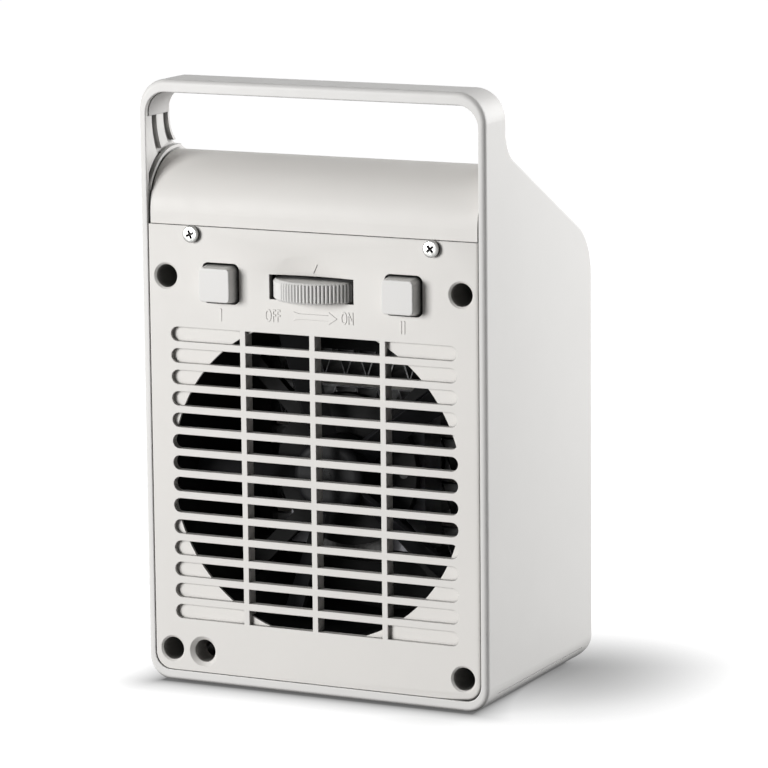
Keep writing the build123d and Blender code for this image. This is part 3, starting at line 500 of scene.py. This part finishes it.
class Bench:
    """The modelling operations that the sub-assemblies share."""

    @staticmethod
    def hold(*pieces: bpy.types.Object) -> None:
        """Selects these pieces alone and makes the first one active."""
        bpy.ops.object.select_all(action="DESELECT")
        for piece in pieces:
            piece.select_set(True)
        bpy.context.view_layer.objects.active = pieces[0]

    @staticmethod
    @contextmanager
    def editing(piece: bpy.types.Object, mode: str = "FACE") -> Iterator[None]:
        """Opens a piece in edit mode with nothing selected.

        Args:
            piece: the piece.
            mode: whether vertices, edges or faces are picked.

        Yields:
            Nothing, while the piece is open.
        """
        Bench.hold(piece)
        bpy.ops.object.mode_set(mode="EDIT")
        bpy.ops.mesh.select_mode(type=mode)
        bpy.ops.mesh.select_all(action="DESELECT")
        yield
        bpy.ops.object.mode_set(mode="OBJECT")

    @staticmethod
    def pick_faces(piece: bpy.types.Object, wanted: Callable[[bpy.types.MeshPolygon], bool]) -> None:
        """Selects the faces of the open piece that a test wants."""
        bpy.ops.object.mode_set(mode="OBJECT")
        for face in piece.data.polygons:
            face.select = wanted(face)
        bpy.ops.object.mode_set(mode="EDIT")

    @staticmethod
    def pick_points(piece: bpy.types.Object, wanted: Callable[[Vector], bool]) -> None:
        """Selects the open piece's points that a test wants, with the edges and faces between them."""
        bpy.ops.object.mode_set(mode="OBJECT")
        points = piece.data.vertices
        for point in points:
            point.select = wanted(point.co)
        for edge in piece.data.edges:
            edge.select = all(points[index].select for index in edge.vertices)
        for face in piece.data.polygons:
            face.select = all(points[index].select for index in face.vertices)
        bpy.ops.object.mode_set(mode="EDIT")

    @staticmethod
    def pick_edges(piece: bpy.types.Object, wanted: Callable[[Vector], bool]) -> None:
        """Selects the open piece's edges whose two ends and middle a test wants."""
        bpy.ops.object.mode_set(mode="OBJECT")
        points = piece.data.vertices
        for edge in piece.data.edges:
            start, end = (points[index].co for index in edge.vertices)
            edge.select = wanted(start) and wanted(end) and wanted((start + end) / 2)
        bpy.ops.object.mode_set(mode="EDIT")

    @staticmethod
    def apply(piece: bpy.types.Object, kind: str, **settings: object) -> None:
        """Adds a modifier to a piece and applies it.

        Args:
            piece: the piece.
            kind: the modifier's type.
            settings: its properties.
        """
        Bench.hold(piece)
        modifier = piece.modifiers.new(kind.title(), kind)
        for name, value in settings.items():
            setattr(modifier, name, value)
        bpy.ops.object.modifier_apply(modifier=modifier.name)

    @staticmethod
    def soften(piece: bpy.types.Object, width: float) -> None:
        """Rounds a piece's sharp edges over a width, in the piece's own units."""
        sharp = math.radians(40)
        Bench.apply(piece, "BEVEL", width=width, segments=3, limit_method="ANGLE", angle_limit=sharp)

    @staticmethod
    def smooth(piece: bpy.types.Object, angle: float = 32) -> None:
        """Shades a piece smooth where its faces meet at less than an angle in degrees."""
        Bench.hold(piece)
        bpy.ops.object.shade_smooth_by_angle(angle=math.radians(angle))

    @staticmethod
    def settle(piece: bpy.types.Object, name: str) -> None:
        """Names a piece and puts its place, turn and size into its mesh."""
        piece.name = name
        piece.data.name = name
        Bench.hold(piece)
        bpy.ops.object.transform_apply(location=True, rotation=True, scale=True)

    @staticmethod
    def twin(piece: bpy.types.Object, turn: Matrix) -> bpy.types.Object:
        """Copies a piece with its own mesh.

        Args:
            piece: the piece to copy.
            turn: where the copy's mesh goes.

        Returns:
            The copy.
        """
        mesh = piece.data.copy()
        mesh.transform(turn)
        copy = bpy.data.objects.new(f"{piece.name}_copy", mesh)
        bpy.context.collection.objects.link(copy)
        return copy

    @staticmethod
    def join(pieces: list[bpy.types.Object]) -> bpy.types.Object:
        """Joins pieces into the first one, which is returned."""
        Bench.hold(*pieces)
        if len(pieces) > 1:
            bpy.ops.object.join()
        return pieces[0]


@dataclass
class SubAssembly(ABC):
    """A group of pieces that are built and dressed together."""

    palette: Palette

    @abstractmethod
    def build(self) -> list[bpy.types.Object]:
        """Builds and dresses the pieces, and returns them."""

    def keep(self, slot: Slot, *nodes: str, variant: Variant = Variant.PLAIN) -> list[bpy.types.Object]:
        """Dresses nodes whose solids stay as they are.

        Args:
            slot: their material slot.
            nodes: their names.
            variant: which of the slot's shades.

        Returns:
            The nodes' objects.
        """
        kept = [frame["nodes"][node] for node in nodes]
        for piece in kept:
            self.palette.dress(piece, slot, variant)
        return kept

    def place(self, piece: bpy.types.Object, slot: Slot, *nodes: str) -> bpy.types.Object:
        """Dresses a new piece and sets it on the housing.

        Args:
            piece: the piece.
            slot: its material slot.
            nodes: the nodes that it replaces.

        Returns:
            The piece.
        """
        self.palette.dress(piece, slot)
        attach(piece, HOUSING)
        if nodes:
            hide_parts(*nodes)
        return piece

    @staticmethod
    def copy_node(node: str, name: str) -> bpy.types.Object:
        """Copies a node's solid as one closed mesh without its triangles' edges.

        Args:
            node: the node's name.
            name: the copy's name.

        Returns:
            The copy.
        """
        copy = bpy.data.objects.new(name, frame["nodes"][node].data.copy())
        copy.data.name = name
        bpy.context.collection.objects.link(copy)
        with Bench.editing(copy):
            bpy.ops.mesh.select_all(action="SELECT")
            bpy.ops.mesh.customdata_custom_splitnormals_clear()
            bpy.ops.mesh.remove_doubles(threshold=0.001 * MM)
            bpy.ops.mesh.dissolve_limited(angle_limit=math.radians(0.2))
        return copy


@dataclass
class Housing(SubAssembly):
    """The wrap-round shell with its handle, the covers, the outlet grille and the feet."""

    cover_round: float = 1.4 * MM
    cover_corner: float = 7 * MM
    slack: float = 0.05 * MM
    hole_reach: float = 8.5 * MM
    hole_flare: float = 1.035

    def build(self) -> list[bpy.types.Object]:
        """Builds and dresses the housing."""
        pieces = self.keep(Slot.SHELL, "outer_shell")
        # The liner's darker grey is painted shade.
        pieces += self.keep(Slot.SHELL, "handle_liner", variant=Variant.SHADED)
        pieces += self.keep(Slot.COVER, "top_cover", "front_grille")
        pieces += self.keep(Slot.RUBBER, "rubber_feet")
        return [*pieces, self.rear_cover()]

    def rear_cover(self) -> bpy.types.Object:
        """Replaces the rear cover by a copy with one side rounded over and the button holes flared."""
        cover = self.copy_node("rear_cover", "rear_cover_moulding")
        low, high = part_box("rear_cover")
        face = high.y - self.slack
        with Bench.editing(cover, "EDGE"):
            Bench.pick_edges(cover, lambda point: point.y > face and self.on_side(point, low))
            bpy.ops.mesh.bevel(offset=self.cover_round, segments=4, affect="EDGES", clamp_overlap=True)
        flare = (self.hole_flare, 1, self.hole_flare)
        for button in ("power_button_1", "power_button_2"):
            middle = sum(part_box(button), Vector()) / 2
            with Bench.editing(cover, "VERT"):
                Bench.pick_points(cover, lambda point: point.y > face and self.near(point, middle))
                bpy.ops.transform.resize(value=flare, center_override=middle)
        Bench.smooth(cover)
        return self.place(cover, Slot.COVER, "rear_cover")

    def on_side(self, point: Vector, low: Vector) -> bool:
        """Tells whether a point is on the side of the rear cover towards -X or on the corner below it.

        Args:
            point: the point.
            low: the cover's lowest corner.

        Returns:
            Whether the point is there.
        """
        across = point.x - low.x - self.cover_corner
        above = point.z - low.z - self.cover_corner
        if across < 0 and above < 0:
            return math.hypot(across, above) > self.cover_corner - self.slack
        return point.x < low.x + self.slack

    def near(self, point: Vector, middle: Vector) -> bool:
        """Tells whether a point is round a button's hole, whose middle is given."""
        return max(abs(point.x - middle.x), abs(point.z - middle.z)) < self.hole_reach


@dataclass(frozen=True)
class Mark:
    """A raised mark on the rear cover: its middle and its size across, up and out of the face."""

    name: str
    across: float
    height: float
    wide: float
    tall: float
    proud: float = 0.22 * MM
    sunk: float = 0.2 * MM

    def seat(self, piece: bpy.types.Object, face: float) -> bpy.types.Object:
        """Sets a flat-lying piece upright on the face, at the mark's size.

        Args:
            piece: the piece, with its front towards +Z.
            face: the face's place along Y.

        Returns:
            The piece.
        """
        Bench.hold(piece)
        bpy.ops.object.origin_set(type="ORIGIN_GEOMETRY", center="BOUNDS")
        thick = self.proud + self.sunk
        stretch = [want / have for want, have in zip((self.wide, self.tall, thick), piece.dimensions)]
        spot = Vector((self.across, face + (self.proud - self.sunk) / 2, self.height))
        piece.matrix_world = Matrix.Translation(spot) @ Facing.REAR.value @ Matrix.Diagonal((*stretch, 1))
        Bench.settle(piece, self.name)
        return piece


@dataclass
class Controls(SubAssembly):
    """The two push buttons, the thermostat and the raised marks beside them."""

    off_mark: Mark = Mark("mark_off", 17.7 * MM, 158.8 * MM, 6.9 * MM, 5.3 * MM)
    on_mark: Mark = Mark("mark_on", -16.1 * MM, 159.7 * MM, 5.5 * MM, 5.2 * MM)
    arrow_mark: Mark = Mark("mark_arrow", -1.65 * MM, 159.2 * MM, 19.7 * MM, 5.0 * MM)
    one_mark: Mark = Mark("mark_one", 41.5 * MM, 157.6 * MM, 0.8 * MM, 5.3 * MM)
    two_mark: Mark = Mark("mark_two", -40.9 * MM, 157.6 * MM, 2.3 * MM, 5.3 * MM)
    arrow_tail: float = 2.6
    arrow_notch: float = 1.2
    arrow_head: float = 3.6
    arrow_fletch: float = 0.74
    arrow_shaft: float = 0.46
    arrow_point: float = 0.02
    blank_thick: float = 0.5
    bar_gap: float = 1.9
    bar_round: float = 0.18
    letter_relief: float = 0.05
    letter_round: float = 0.012
    letter_spacing: float = 1.12
    pointer_foot: Triple = (-0.17 * MM, 46.26 * MM, 177.17 * MM)
    pointer_tip: Triple = (-2.17 * MM, 46.97 * MM, 180.82 * MM)
    pointer_width: float = 0.55 * MM
    pointer_proud: float = 0.28 * MM
    pointer_round: float = 0.15 * MM

    def build(self) -> list[bpy.types.Object]:
        """Builds and dresses the controls."""
        pieces = self.keep(Slot.CONTROL, "power_button_1", "power_button_2")
        # The knurled finish paints shade between the wheel's ribs.
        pieces += self.keep(Slot.CONTROL, "thermostat_wheel", variant=Variant.KNURLED)
        pieces += self.keep(Slot.INNER, "switch_body_1", "switch_body_2", "thermostat_body")
        pieces += self.keep(Slot.SHEET, "thermostat_shaft", "thermostat_bracket")
        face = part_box("rear_cover")[1].y
        marks = [
            self.off_mark.seat(self.letters("OFF"), face),
            self.on_mark.seat(self.letters("ON"), face),
            self.arrow_mark.seat(self.arrow(), face),
            self.one_mark.seat(self.bars(1), face),
            self.two_mark.seat(self.bars(2), face),
            self.pointer(),
        ]
        for mark in marks:
            Bench.smooth(mark)
            self.place(mark, Slot.COVER)
        return pieces + marks

    def letters(self, word: str) -> bpy.types.Object:
        """Models a word in plain raised letters, lying flat.

        Args:
            word: the word.

        Returns:
            The letters as a mesh.
        """
        bpy.ops.object.select_all(action="DESELECT")
        bpy.ops.object.text_add()
        text = bpy.context.object
        text.data.body = word
        text.data.extrude = self.letter_relief
        text.data.bevel_depth = self.letter_round
        text.data.space_character = self.letter_spacing
        Bench.hold(text)
        bpy.ops.object.convert(target="MESH")
        return bpy.context.object

    def arrow(self) -> bpy.types.Object:
        """Models a block arrow with a notched tail, lying flat and pointing along +X."""
        bpy.ops.object.select_all(action="DESELECT")
        bpy.ops.mesh.primitive_grid_add(x_subdivisions=4, y_subdivisions=2, size=2)
        arrow = bpy.context.object
        columns = sorted({round(point.co.x, 4) for point in arrow.data.vertices})
        long = self.arrow_mark.wide / MM
        tall = self.arrow_mark.tall / MM
        neck = long / 2 - self.arrow_head
        slack = 0.01
        reach = (-long / 2, self.arrow_tail - long / 2, neck, neck, long / 2)
        spread = (self.arrow_fletch, self.arrow_shaft, self.arrow_shaft, 1, self.arrow_point)
        for column, place, share in zip(columns, reach, spread):
            with Bench.editing(arrow, "VERT"):
                # A column that is done has been lifted off the ground, so it isn't picked twice.
                Bench.pick_points(arrow, lambda point: abs(point.x - column) < slack and point.z == 0)
                bpy.ops.transform.resize(value=(1, share * tall / 2, 1), center_override=(0, 0, 0))
                bpy.ops.transform.translate(value=(place - column, 0, 1))
        with Bench.editing(arrow, "VERT"):
            Bench.pick_points(arrow, lambda point: point.x < slack - long / 2 and abs(point.y) < slack)
            bpy.ops.transform.translate(value=(self.arrow_notch, 0, 0))
        with Bench.editing(arrow, "FACE"):
            bpy.ops.mesh.select_all(action="SELECT")
            bpy.ops.mesh.extrude_region_move(TRANSFORM_OT_translate={"value": (0, 0, self.blank_thick)})
            bpy.ops.mesh.select_all(action="SELECT")
            bpy.ops.mesh.normals_make_consistent(inside=False)
        return arrow

    def bars(self, count: int) -> bpy.types.Object:
        """Models one or more upright bars with rounded ends, lying flat side by side.

        Args:
            count: how many.

        Returns:
            The bars as one mesh.
        """
        made = []
        for number in range(count):
            bpy.ops.object.select_all(action="DESELECT")
            bpy.ops.mesh.primitive_cube_add(size=1, location=(number * self.bar_gap, 0, 0))
            bar = bpy.context.object
            bar.scale = (1, self.one_mark.tall / self.one_mark.wide, self.blank_thick)
            Bench.settle(bar, f"bar_{number}")
            Bench.soften(bar, self.bar_round)
            made.append(bar)
        return Bench.join(made)

    def pointer(self) -> bpy.types.Object:
        """Models the slanted ridge on the scoop above the wheel."""
        foot, tip = Vector(self.pointer_foot), Vector(self.pointer_tip)
        along = (tip - foot).normalized()
        sideways = along.cross(Vector((0, 1, 0))).normalized()
        out = sideways.cross(along)
        bpy.ops.object.select_all(action="DESELECT")
        bpy.ops.mesh.primitive_cube_add(size=1)
        ridge = bpy.context.object
        ridge.scale = (self.pointer_width, (tip - foot).length, 2 * self.pointer_proud)
        Bench.settle(ridge, "thermostat_pointer")
        Bench.soften(ridge, self.pointer_round)
        turn = Matrix((sideways, along, out)).transposed().to_4x4()
        ridge.matrix_world = Matrix.Translation((foot + tip) / 2) @ turn
        Bench.settle(ridge, "thermostat_pointer")
        return ridge


@dataclass
class Fasteners(SubAssembly):
    """The screws: pan heads with a cross recess, and hexagon-headed motor bolts."""

    head_sides: int = 40
    head_radius: float = 3.5 * MM
    head_height: float = 2.2 * MM
    crown: float = 0.7 * MM
    shank_radius: float = 1.7 * MM
    thread_root: float = 0.78
    thread_pitch: float = 1.25 * MM
    tip_share: float = 0.45
    recess_span: float = 4.7 * MM
    recess_width: float = 1.25 * MM
    recess_depth: float = 1.5 * MM
    recess_taper: float = 0.55
    head_turns: Sides = (40, 22, 65, 10)
    smooth_angle: float = 40

    def build(self) -> list[bpy.types.Object]:
        """Builds and dresses the screws."""
        pieces = self.keep(Slot.SHEET, "motor_screws")
        for facing, nodes in (
            (Facing.REAR, ("cover_screws", "corner_screws")),
            (Facing.FRONT, ("bracket_screws", "duct_screws", "heater_screws")),
        ):
            pieces += [self.group(node, facing) for node in nodes]
        return pieces

    def group(self, node: str, facing: Facing) -> bpy.types.Object:
        """Replaces a node's screws by detailed ones in the same places.

        Args:
            node: the node's name.
            facing: which way their heads look.

        Returns:
            The screws as one piece.
        """
        low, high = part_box(node)
        length = high.y - low.y - self.head_height
        seat = high.y - self.head_height if facing is Facing.REAR else low.y + self.head_height
        heights = [low.z + self.head_radius]
        two_rows = high.z - low.z > 3 * self.head_radius
        if two_rows:
            heights.append(high.z - self.head_radius)
        columns = (low.x + self.head_radius, high.x - self.head_radius)
        places = [Vector((across, seat, height)) for across in columns for height in heights]
        screw = self.screw(length)
        copies = []
        for place, turn in zip(places, self.head_turns):
            spin = Matrix.Rotation(math.radians(turn), 4, "Z")
            copies.append(Bench.twin(screw, Matrix.Translation(place) @ facing.value @ spin))
        bpy.data.objects.remove(screw)
        piece = Bench.join(copies)
        Bench.settle(piece, f"{node}_cross_recess")
        Bench.smooth(piece, self.smooth_angle)
        return self.place(piece, Slot.ZINC, node)

    def screw(self, length: float) -> bpy.types.Object:
        """Models one screw upright, with the seat of its head at the origin.

        Args:
            length: from the seat to the tip.

        Returns:
            The screw.
        """
        bpy.ops.object.select_all(action="DESELECT")
        bpy.ops.mesh.primitive_cylinder_add(
            vertices=self.head_sides,
            radius=self.head_radius,
            depth=self.head_height,
            location=(0, 0, self.head_height / 2),
        )
        screw = bpy.context.object
        Bench.settle(screw, "screw")
        with Bench.editing(screw):
            Bench.pick_faces(screw, lambda face: face.normal.z > LEVEL)
            bpy.ops.mesh.bevel(offset=self.crown, segments=6, affect="EDGES")
        with Bench.editing(screw):
            Bench.pick_faces(screw, lambda face: face.normal.z < -LEVEL)
            bpy.ops.mesh.inset(thickness=self.head_radius - self.shank_radius)
            turns = max(1, int(length / self.thread_pitch) - 1)
            step = length / (turns + 1)
            for depth in range(turns):
                for share in (self.thread_root, 1 / self.thread_root):
                    bpy.ops.mesh.extrude_region_move(TRANSFORM_OT_translate={"value": (0, 0, -step / 2)})
                    bpy.ops.transform.resize(value=(share, share, 1), center_override=(0, 0, -depth * step))
            bpy.ops.mesh.extrude_region_move(TRANSFORM_OT_translate={"value": (0, 0, -step)})
            tip = (self.tip_share, self.tip_share, 1)
            bpy.ops.transform.resize(value=tip, center_override=(0, 0, -length))
        for turn in (0, 90):
            cutter = self.recess_cutter(turn)
            Bench.apply(screw, "BOOLEAN", object=cutter, operation="DIFFERENCE", solver="EXACT")
            bpy.data.objects.remove(cutter)
        return screw

    def recess_cutter(self, turn: float) -> bpy.types.Object:
        """Models the tapered blade that cuts one slot of a cross recess.

        Args:
            turn: its turn about the screw's axis, in degrees.

        Returns:
            The blade.
        """
        bpy.ops.object.select_all(action="DESELECT")
        bpy.ops.mesh.primitive_cube_add(size=1, location=(0, 0, self.head_height))
        cutter = bpy.context.object
        cutter.scale = (self.recess_span, self.recess_width, 2 * self.recess_depth)
        cutter.rotation_euler.z = math.radians(turn)
        Bench.settle(cutter, "recess_cutter")
        with Bench.editing(cutter):
            Bench.pick_faces(cutter, lambda face: face.normal.z < -LEVEL)
            taper = (self.recess_taper, self.recess_taper, 1)
            bpy.ops.transform.resize(value=taper, center_override=(0, 0, 0))
        return cutter


@dataclass
class FanUnit(SubAssembly):
    """The duct, the impeller and the motor."""

    def build(self) -> list[bpy.types.Object]:
        """Dresses the fan and its motor."""
        pieces = self.keep(Slot.INNER, "fan_duct")
        pieces += self.keep(Slot.FAN, "fan_impeller")
        pieces += self.keep(Slot.SHEET, "motor_shaft", "rear_bearing_bracket", "front_bearing_bracket")
        pieces += self.keep(Slot.CORE, "motor_rotor", "motor_stator")
        pieces += self.keep(Slot.TAPE, "motor_coil")
        pieces += self.keep(Slot.BRONZE, "bearing_bushes")
        return pieces


@dataclass
class HeaterUnit(SubAssembly):
    """The ceramic heating stack with its frame and safety parts."""

    def build(self) -> list[bpy.types.Object]:
        """Dresses the heating stack."""
        pieces = self.keep(Slot.INNER, "heater_frame", "terminal_block")
        pieces += self.keep(Slot.ALUMINIUM, "heater_fins", "electrode_plates")
        pieces += self.keep(Slot.CERAMIC, "ceramic_strips")
        pieces += self.keep(Slot.SHEET, "thermal_cutout", "thermal_fuse")
        return pieces


@dataclass(frozen=True)
class Lamp:
    """A square softbox on a stand.

    Its heading is in degrees from straight behind the heater's rear face, positive towards +X. Its rise is in
    degrees above the level of what it faces.
    """

    name: str
    heading: float
    rise: float
    distance: float
    size: float
    level: float

    def hang(self, target: Vector) -> None:
        """Hangs the lamp facing a point, at a power that lights a face turned towards it to its level.

        Args:
            target: the point.
        """
        heading, rise = math.radians(self.heading), math.radians(self.rise)
        towards = Vector((math.sin(heading), math.cos(heading), math.tan(rise))).normalized()
        light = bpy.data.lights.new(self.name, "AREA")
        light.size = self.size
        light.energy = self.level * (math.pi * self.distance) ** 2
        lamp = bpy.data.objects.new(self.name, light)
        bpy.context.collection.objects.link(lamp)
        lamp.location = target + towards * self.distance
        lamp.rotation_euler = towards.to_track_quat("Z", "Y").to_euler()


@dataclass
class Studio:
    """A pale floor, soft light and the photograph's camera."""

    yaw: float = 25.988
    pitch: float = 10.241
    roll: float = -0.573
    aim_across: float = -32.63 * MM
    aim_height: float = 134.17 * MM
    distance: float = 1.76219
    lens: float = 205.126
    sensor: float = 36.0
    floor_half: float = 12.0
    floor_roughness: float = 0.9
    floor_clouds: float = 0.4
    floor_shades: tuple[Colour, Colour] = ((0.24, 0.24, 0.24), (0.26, 0.26, 0.26))
    # Where the floor's whiteness fades into the painted shadows, and how dark they get.
    shadow_edges: Sides = (80 * MM, -40 * MM, 1 * MM, -10 * MM)
    shadow_fades: Sides = (105 * MM, 70 * MM, 95 * MM, 145 * MM)
    contact_edges: Sides = (74 * MM, 69 * MM, 45 * MM, 50 * MM)
    contact_fades: Sides = (22 * MM, 38 * MM, 24 * MM, 38 * MM)
    shadow_level: float = 0.18
    contact_level: float = 0.1
    world_level: float = 0.05
    lamps: tuple[Lamp, ...] = (
        Lamp("key_softbox", heading=33, rise=8, distance=2.0, size=0.8, level=1.0),
        Lamp("side_softbox", heading=-133, rise=21, distance=1.1, size=0.8, level=1.22),
    )

    def build(self) -> None:
        """Sets up the floor, the light and the camera."""
        self.lay_floor()
        self.light_world()
        for lamp in self.lamps:
            lamp.hang(Vector((0, 0, self.aim_height)))
        self.stand_camera()
        bpy.context.scene.view_settings.view_transform = "Standard"

    def lay_floor(self) -> None:
        """Lays the pale floor: white away from the heater, with a painted shadow over the cast one near it.
        """
        bpy.ops.object.select_all(action="DESELECT")
        bpy.ops.mesh.primitive_plane_add(size=2 * self.floor_half)
        floor = bpy.context.object
        floor.name = "floor"
        sheet = NodeSheet("pale_floor")
        sheet.shader.inputs["Roughness"].default_value = self.floor_roughness
        sheet.shader.inputs["Specular IOR Level"].default_value = 0
        sheet.tint(sheet.noise(self.floor_clouds, detail=2), *self.floor_shades)
        shown = sheet.add("ShaderNodeMath", operation="MULTIPLY")
        sheet.link(self.looked_at(sheet.tree), shown.inputs[0])
        sheet.link(self.floor_lift(sheet), shown.inputs[1])
        sheet.shader.inputs["Emission Color"].default_value = (1, 1, 1, 1)
        sheet.link(shown.outputs["Value"], sheet.shader.inputs["Emission Strength"])
        floor.data.materials.append(sheet.material)

    def floor_lift(self, sheet: NodeSheet) -> bpy.types.NodeSocket:
        """Lays the floor's whiteness: a wide painted shadow turned by the camera's yaw, and a close one round
        the foot.

        Args:
            sheet: the floor's nodes.

        Returns:
            The whiteness, 1 where both shadows have faded away.
        """
        turned = sheet.add("ShaderNodeMapping")
        turned.inputs["Rotation"].default_value = (0, 0, math.pi - math.radians(self.yaw))
        sheet.link(sheet.place, turned.inputs["Vector"])
        wide = self.fading(sheet, turned.outputs["Vector"], self.shadow_edges, self.shadow_fades)
        close = sheet.add("ShaderNodeMath", operation="SQRT")
        sheet.link(self.fading(sheet, sheet.place, self.contact_edges, self.contact_fades), close.inputs[0])
        darker = sheet.add("ShaderNodeMath", operation="MINIMUM")
        for distance, style, dark, socket in (
            (wide, "SMOOTHSTEP", self.shadow_level, darker.inputs[0]),
            (close.outputs["Value"], "LINEAR", self.contact_level, darker.inputs[1]),
        ):
            level = sheet.add("ShaderNodeMapRange", interpolation_type=style)
            level.inputs["To Min"].default_value = dark
            sheet.link(distance, level.inputs["Value"])
            sheet.link(level.outputs["Result"], socket)
        return darker.outputs["Value"]

    @staticmethod
    def fading(
        sheet: NodeSheet, place: bpy.types.NodeSocket, edges: Sides, fades: Sides
    ) -> bpy.types.NodeSocket:
        """Lays how far a place is beyond a rectangle, as a share of what each side fades over.

        Args:
            sheet: the nodes to lay it with.
            place: the place.
            edges: the rectangle's sides towards +X, -X, +Y and -Y, in metres.
            fades: what each side fades over, in metres.

        Returns:
            The share, 0 inside the rectangle.
        """
        axes = sheet.add("ShaderNodeSeparateXYZ")
        sheet.link(place, axes.inputs[0])
        away = sheet.add("ShaderNodeCombineXYZ")
        sides = list(zip(edges, fades, (1, -1, 1, -1)))
        for axis, pair in (("X", sides[:2]), ("Y", sides[2:])):
            further = sheet.add("ShaderNodeMath", operation="MAXIMUM")
            for (edge, fade, sign), socket in zip(pair, further.inputs):
                ramp = sheet.add("ShaderNodeMapRange")
                ramp.inputs["From Min"].default_value = sign * edge
                ramp.inputs["From Max"].default_value = sign * (edge + fade)
                sheet.link(axes.outputs[axis], ramp.inputs["Value"])
                sheet.link(ramp.outputs["Result"], socket)
            sheet.link(further.outputs["Value"], away.inputs[axis])
        distance = sheet.add("ShaderNodeVectorMath", operation="LENGTH")
        sheet.link(away.outputs["Vector"], distance.inputs[0])
        return distance.outputs["Value"]

    @staticmethod
    def looked_at(tree: bpy.types.NodeTree) -> bpy.types.NodeSocket:
        """Adds a test for what is seen directly, in a reflection or through something clear.

        Args:
            tree: the nodes to add it to.

        Returns:
            1 where it is seen and 0 where it only lights something.
        """
        rays = tree.nodes.new("ShaderNodeLightPath")
        seen = rays.outputs["Is Camera Ray"]
        for name in ("Is Glossy Ray", "Is Transmission Ray"):
            either = tree.nodes.new("ShaderNodeMath")
            either.operation = "MAXIMUM"
            tree.links.new(seen, either.inputs[0])
            tree.links.new(rays.outputs[name], either.inputs[1])
            seen = either.outputs["Value"]
        return seen

    def light_world(self) -> None:
        """Fills the room with a little even light, white where it is looked at."""
        world = bpy.data.worlds.new("studio_room")
        bpy.context.scene.world = world
        world.use_nodes = True
        tree = world.node_tree
        level = tree.nodes.new("ShaderNodeMapRange")
        level.inputs["To Min"].default_value = self.world_level
        level.inputs["To Max"].default_value = 1
        tree.links.new(self.looked_at(tree), level.inputs["Value"])
        tree.nodes["Background"].inputs["Color"].default_value = (1, 1, 1, 1)
        tree.links.new(level.outputs["Result"], tree.nodes["Background"].inputs["Strength"])

    def stand_camera(self) -> None:
        """Stands the camera where the photograph was taken from."""
        yaw, pitch, roll = (math.radians(angle) for angle in (self.yaw, self.pitch, self.roll))
        forward = Vector((math.sin(yaw), -math.cos(yaw), -math.tan(pitch))).normalized()
        level_right = Vector((-math.cos(yaw), -math.sin(yaw), 0))
        level_up = level_right.cross(forward)
        right = math.cos(roll) * level_right + math.sin(roll) * level_up
        up = math.cos(roll) * level_up - math.sin(roll) * level_right
        rear_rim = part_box("outer_shell")[1].y
        spot = Vector((self.aim_across, rear_rim, self.aim_height)) - forward * self.distance
        data = bpy.data.cameras.new("photo_camera")
        data.lens = self.lens
        data.sensor_width = self.sensor
        camera = bpy.data.objects.new("photo_camera", data)
        bpy.context.collection.objects.link(camera)
        turn = Matrix((right, up, -forward)).transposed().to_4x4()
        camera.matrix_world = Matrix.Translation(spot) @ turn
        bpy.context.scene.camera = camera


def main() -> None:
    """Builds the heater's sub-assemblies in order, then the studio round it."""
    logging.basicConfig(level=logging.INFO, format="%(name)s %(message)s")
    palette = Palette()
    for group in (Housing, Controls, Fasteners, FanUnit, HeaterUnit):
        for piece in group(palette).build():
            LOG.info("%s: %s", group.__name__, piece.name)
    Studio().build()


if __name__ == "__main__":
    main()
